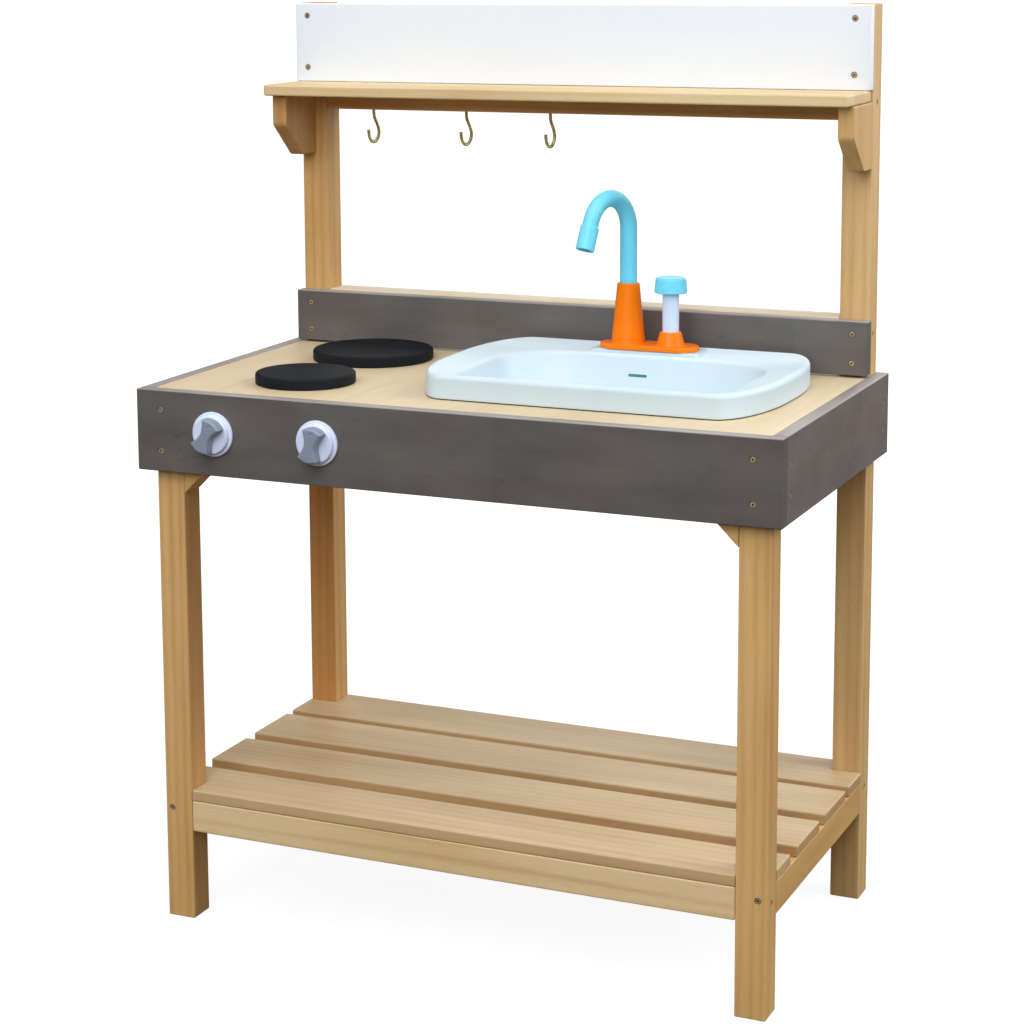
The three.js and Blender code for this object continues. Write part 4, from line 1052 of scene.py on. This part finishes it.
def make_tap_pad(high, tap):
    """The raised pad that carries the tap: level with the rim, in line with the bowl's rear wall."""
    back = high.y - PAD_BACK
    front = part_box("tap_base")[0].y + 0.4 * MM
    near, far = front + PAD_CORNER, back - PAD_CORNER
    left, right = tap.x - PAD_HALF + PAD_CORNER, tap.x + PAD_HALF - PAD_CORNER
    corners = (((right, near), -90), ((right, far), 0), ((left, far), 90), ((left, near), 180))
    outline = [point for centre, start in corners for point in arc(centre, PAD_CORNER, start, start + 90, 6)]
    bm = slab(outline, PAD_HEIGHT, at(0, 0, high.z - 0.1 * MM - PAD_HEIGHT))
    foot = [v for v in bm.verts if v.co.z < high.z - PAD_HEIGHT / 2]
    space = at(-tap.x, -(front + back) / 2, 0)
    bmesh.ops.scale(bm, verts=foot, vec=(1.1, 1, 1), space=space)
    eased(bm, 3 * MM, 6, 40, above(high.z - 1 * MM))
    pad = to_object("tap_pad", bm)
    carve(pad, [drill(PAD_BORE, -12 * MM, 2 * MM, at(tap.x + x, tap.y, high.z), 40)
                for x in (-TAP_SPACING / 2, TAP_SPACING / 2)])
    dress(pad, "pad", sharp=48)


# Tap

TAP_SPACING = 49.4 * MM
PLATE_HEIGHT = 5 * MM
SHANK = 18 * MM
SHANK_RADIUS = 12 * MM
SPOUT_RADIUS = 9.4 * MM
STEM_RADIUS = 9.15 * MM
BORE_ROOM = 0.3 * MM
CONES = ((-1, 18.8, 12.25, 67, SPOUT_RADIUS), (1, 15.75, 11.6, 15, STEM_RADIUS))


def cone_profile(foot, top, height, bore, sunk):
    """A hollow cone with a small flare at its foot and a rounded mouth, from lengths in millimetres."""
    slope = (foot - top) / height
    return mm((bore, sunk), (foot + 1.3, sunk), (foot + 1.3, 0.02), (foot + 0.45, 0.35),
              (foot - slope * 1.4, 1.4), (foot - slope * height * 0.5, height * 0.5),
              (top + slope * 1.5, height - 1.5), (top - 0.25, height - 0.45), (top - 1.1, height),
              (bore + 0.5, height), (bore, height - 0.5), (bore, sunk))


def plate_top():
    """The height of the top of the tap's plate."""
    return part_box("tap_base")[0].z + SHANK + PLATE_HEIGHT


def make_tap_base():
    low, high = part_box("tap_base")
    top = plate_top()
    centre = middle_of("tap_base")
    half = (high.x - low.x) / 2
    radius = (high.y - low.y) / 2
    outline = arc((centre.x + half - radius, centre.y), radius, -90, 90, 32)
    outline += arc((centre.x - half + radius, centre.y), radius, 90, 270, 32)
    bm = slab(outline, PLATE_HEIGHT, at(0, 0, low.z + SHANK))
    eased(bm, 1.6 * MM, 5, 60, above(top - 1 * MM))
    plate = to_object("tap_base_shell", bm)
    bores = []
    cones = []
    for out, foot, mouth, height, inner in CONES:
        place = at(centre.x + out * TAP_SPACING / 2, centre.y, top)
        bore = inner + BORE_ROOM
        cones.append(turned("cone", cone_profile(foot, mouth, height, bore / MM, -1), place))
        reach = -SHANK - PLATE_HEIGHT
        wall = [(bore, reach), (SHANK_RADIUS, reach), (SHANK_RADIUS, -1 * MM), (bore, -1 * MM), (bore, reach)]
        cones.append(turned("shank", wall, place, 48))
        bores.append(drill(bore, -40 * MM, 2 * MM, place, 72))
    carve(plate, bores)
    carve(plate, cones, "UNION")
    dress(plate, "orange", "tap_base", sharp=30)


BEND_RADIUS = 35.5 * MM
BEND_ANGLE = 159
BEND_STEPS = 24
BEND_HEIGHT = 127.6 * MM
RISER_STEPS = 8
SPOUT_TAIL = 17.2 * MM
SPOUT_SEAT = 8.3 * MM
SPOUT_TURN = -15.8
SPOUT_TAPER = 0.07
NOZZLE_PLACE = 5.2 * MM
NOZZLE_LENGTH = 26.7
NOZZLE_PROFILE = mm((8.6, 0), (9.5, 0.1), (9.95, 0.6), (10.1, 1.6), (10.05, 4), (10.1, NOZZLE_LENGTH * 0.55),
                    (10.25, NOZZLE_LENGTH - 1.3), (10.15, NOZZLE_LENGTH - 0.4), (9.8, NOZZLE_LENGTH),
                    (7.7, NOZZLE_LENGTH), (7.15, NOZZLE_LENGTH - 0.5), (7, NOZZLE_LENGTH - 2), (7, 12.5),
                    (8.6, 12.5), (8.6, 0))


def make_spout():
    """The pipe rises, bends over and narrows a little on its way to the nozzle's sleeve."""
    centre = middle_of("tap_base")
    riser = Vector((centre.x - TAP_SPACING / 2, centre.y, 0))
    place = Matrix.Translation(riser) @ upright(SPOUT_TURN)
    foot = plate_top() + SPOUT_SEAT
    start = plate_top() + BEND_HEIGHT
    line = [(0, 0, foot + (start - foot) * i / RISER_STEPS) for i in range(RISER_STEPS)]
    line += [(0, y - BEND_RADIUS, start + z)
             for y, z in arc((0, 0), BEND_RADIUS, 0, BEND_ANGLE, BEND_STEPS)]
    end = Vector(line[-1])
    along = Vector((0, -sin(radians(BEND_ANGLE)), cos(radians(BEND_ANGLE))))
    line += [end + along * SPOUT_TAIL * share for share in (0.3, 0.65, 1)]
    widths = [1 - SPOUT_TAPER * min(1, max(0, (i - 20) / 10)) for i in range(len(line))]
    pipe = tube("spout_pipe", [place @ Vector(point) for point in line], SPOUT_RADIUS, 4, widths)
    dress(pipe, "blue", "spout_tube", "spout", 60)
    mouth = place @ facing(end + along * NOZZLE_PLACE, along)
    sleeve = turned("spout_sleeve", NOZZLE_PROFILE, mouth, 64)
    dress(sleeve, "blue", "spout_nozzle", "spout", 50)


CAP_FOOT = 18 * MM
CAP_TOP = 16.5 * MM
CAP_SOCKET = 12 * MM
CAP_LIP = 1.6 * MM
CAP_ROUND = 3 * MM


def make_pump():
    centre = middle_of("tap_base")
    axis = at(centre.x + TAP_SPACING / 2, centre.y, 0)
    low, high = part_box("pump_stem")
    profile = [(0, low.z), (STEM_RADIUS - 0.4 * MM, low.z), (STEM_RADIUS, low.z + 0.4 * MM),
               (STEM_RADIUS, low.z + 30 * MM), (STEM_RADIUS, high.z), (0, high.z)]
    dress(turned("pump_rod", profile, axis, 64), "stem", "pump_stem",
          "pump_plunger", 50)
    low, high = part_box("pump_cap")
    height = high.z - low.z
    bore = STEM_RADIUS + 0.2 * MM
    profile = [(0, CAP_SOCKET), (bore, CAP_SOCKET), (bore, 0.3 * MM), (bore + 0.3 * MM, 0), (CAP_FOOT - CAP_LIP, 0)]
    profile += arc((CAP_FOOT - CAP_LIP, CAP_LIP), CAP_LIP, -70, 0, 4)
    profile += [(CAP_FOOT - 0.6 * MM, height * 0.45)]
    profile += arc((CAP_TOP - 2.6 * MM, height - CAP_ROUND), CAP_ROUND, 8, 82, 7)
    profile += [(CAP_TOP - 4 * MM, height - 0.05 * MM), (CAP_TOP - 6.5 * MM, height - 0.3 * MM),
                (0, height - 0.45 * MM)]
    place = axis @ at(0, 0, low.z)
    dress(turned("pump_button", profile, place, 80), "blue", "pump_cap",
          "pump_plunger", 40)
    for node in ("spout_nut", "pump_nut", "pump_barrel", "pump_piston", "pump_hose"):
        carry(node, "inner")
    make_spring(axis)


SPRING_WIRE = 1.6 * MM
SPRING_TURNS = 7
SPRING_TURN_STEPS = 20


def make_spring(axis):
    """The pump's return spring."""
    low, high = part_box("pump_spring")
    radius = (high.x - low.x - SPRING_WIRE) / 2
    rise = high.z - low.z - SPRING_WIRE
    steps = SPRING_TURN_STEPS * SPRING_TURNS
    rounds = arc((0, 0), radius, 0, 360 * SPRING_TURNS, steps)
    line = [axis @ Vector((x, y, low.z + SPRING_WIRE / 2 + rise * i / steps)) for i, (x, y) in enumerate(rounds)]
    coil = tube("pump_coil", line, SPRING_WIRE / 2, 1)
    dress(coil, "steel", "pump_spring", sharp=60)
    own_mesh(coil)


# Studio

CAMERA_PLACE = (1.032380, -2.433786, 1.074080)
CAMERA_YAW = 0.440734
CAMERA_PITCH = -0.154772
CAMERA_ROLL = -0.009772
FOCAL = 2477.175
CENTRE = (415.669, 324.364)
PICTURE = 1024
SENSOR = 36
FAR_CLIP = 60


def add_camera():
    """The photograph's own view: a cropped frame, so its centre is off the lens axis.
    FOCAL and CENTRE are in pixels of a picture that is PICTURE wide."""
    look = Vector((-sin(CAMERA_YAW) * cos(CAMERA_PITCH), cos(CAMERA_YAW) * cos(CAMERA_PITCH), sin(CAMERA_PITCH)))
    level = Vector((cos(CAMERA_YAW), sin(CAMERA_YAW), 0))
    up = level.cross(look)
    right = cos(CAMERA_ROLL) * level + sin(CAMERA_ROLL) * up
    over = -sin(CAMERA_ROLL) * level + cos(CAMERA_ROLL) * up
    data = bpy.data.cameras.new("camera")
    data.sensor_width = SENSOR
    data.lens = FOCAL / PICTURE * SENSOR
    data.shift_x = (PICTURE / 2 - CENTRE[0]) / PICTURE
    data.shift_y = (CENTRE[1] - PICTURE / 2) / PICTURE
    data.clip_end = FAR_CLIP
    camera = add_object("camera", data)
    camera.matrix_world = Matrix.Translation(CAMERA_PLACE) @ Matrix((right, over, -look)).transposed().to_4x4()
    SCENE.camera = camera


COOL = (0.94, 0.97, 1.0)
PLAIN = (1, 1, 1)
# Soft boxes: name, place, target, size, power and colour
LIGHTS = (("overhead", (0.2, -1.1, 3.5), (0.1, 0, 0.5), (3.4, 3.0), 57, COOL),
          ("from_front", (0.5, -3.4, 2.45), (0, 0, 0.6), (3.2, 2.6), 104, COOL),
          ("from_right", (3.1, 0.6, 2.6), (0, 0, 0.6), (2.6, 2.4), 99, COOL),
          ("from_left", (-3.0, -0.9, 2.5), (0, 0, 0.6), (2.6, 2.4), 24, PLAIN),
          ("from_behind", (0.3, 3.4, 1.7), (0, 0, 0.5), (5.0, 2.6), 60, PLAIN))
AIR_COLOUR = (1.0, 0.86, 0.7, 1)
AIR_STRENGTH = 0.1
FLOOR_RADIUS = 4.6
FLOOR_BEND = 1.6
FLOOR_RISE = 7
FLOOR_DROP = 0.3 * MM


def add_light(name, place, target, size, power, colour):
    data = bpy.data.lights.new(name, "AREA")
    data.shape = "RECTANGLE"
    data.size, data.size_y = size
    data.energy = power
    data.color = colour
    lamp = add_object(name, data)
    lamp.visible_camera = False
    aim = Vector(target) - Vector(place)
    lamp.matrix_world = Matrix.Translation(place) @ aim.to_track_quat("-Z", "Y").to_matrix().to_4x4()


def add_studio():
    """A pale round floor that rises into a wall all round, with soft boxes above and on every side."""
    profile = [(0, 0), (1, 0), (FLOOR_RADIUS, 0)]
    profile += arc((FLOOR_RADIUS, FLOOR_BEND), FLOOR_BEND, -84, 0, 14) + [(FLOOR_RADIUS + FLOOR_BEND, FLOOR_RISE)]
    floor = turned("studio_floor", profile, at(0, 0, -FLOOR_DROP), 96)
    floor.data.shade_smooth()
    finish = Finish("studio_white", (128, 128, 128), 0.9, gloss=0.0)
    finish.feed(finish.shader.inputs["Emission Color"], WHITE)
    spread = finish.node("VectorMath", operation="LENGTH")
    finish.feed(spread.inputs[0], finish.place)
    far = finish.node("MapRange", Value=spread.outputs["Value"], From_Min=0.9, From_Max=2.4, To_Min=0.88,
                      To_Max=1.05)
    finish.feed(finish.shader.inputs["Emission Strength"], far.outputs["Result"])
    floor.data.materials.append(finish.material)
    floor.visible_diffuse = floor.visible_glossy = floor.visible_shadow = False
    world = bpy.data.worlds.new("studio_air")
    world.use_nodes = True
    background = world.node_tree.nodes["Background"]
    background.inputs["Color"].default_value = AIR_COLOUR
    background.inputs["Strength"].default_value = AIR_STRENGTH
    SCENE.world = world
    for light in LIGHTS:
        add_light(*light)
    SCENE.view_settings.view_transform = "Standard"
    SCENE.view_settings.look = "None"


add_camera()
make_legs()
make_rails()
make_slats()
make_corner_blocks()
make_tray()
make_upper_shelf()
make_hooks()
make_hobs()
make_knobs()
make_basin()
make_tap_base()
make_spout()
make_pump()
carry("worktop_panel", "plywood")
fit_screws()
add_studio()
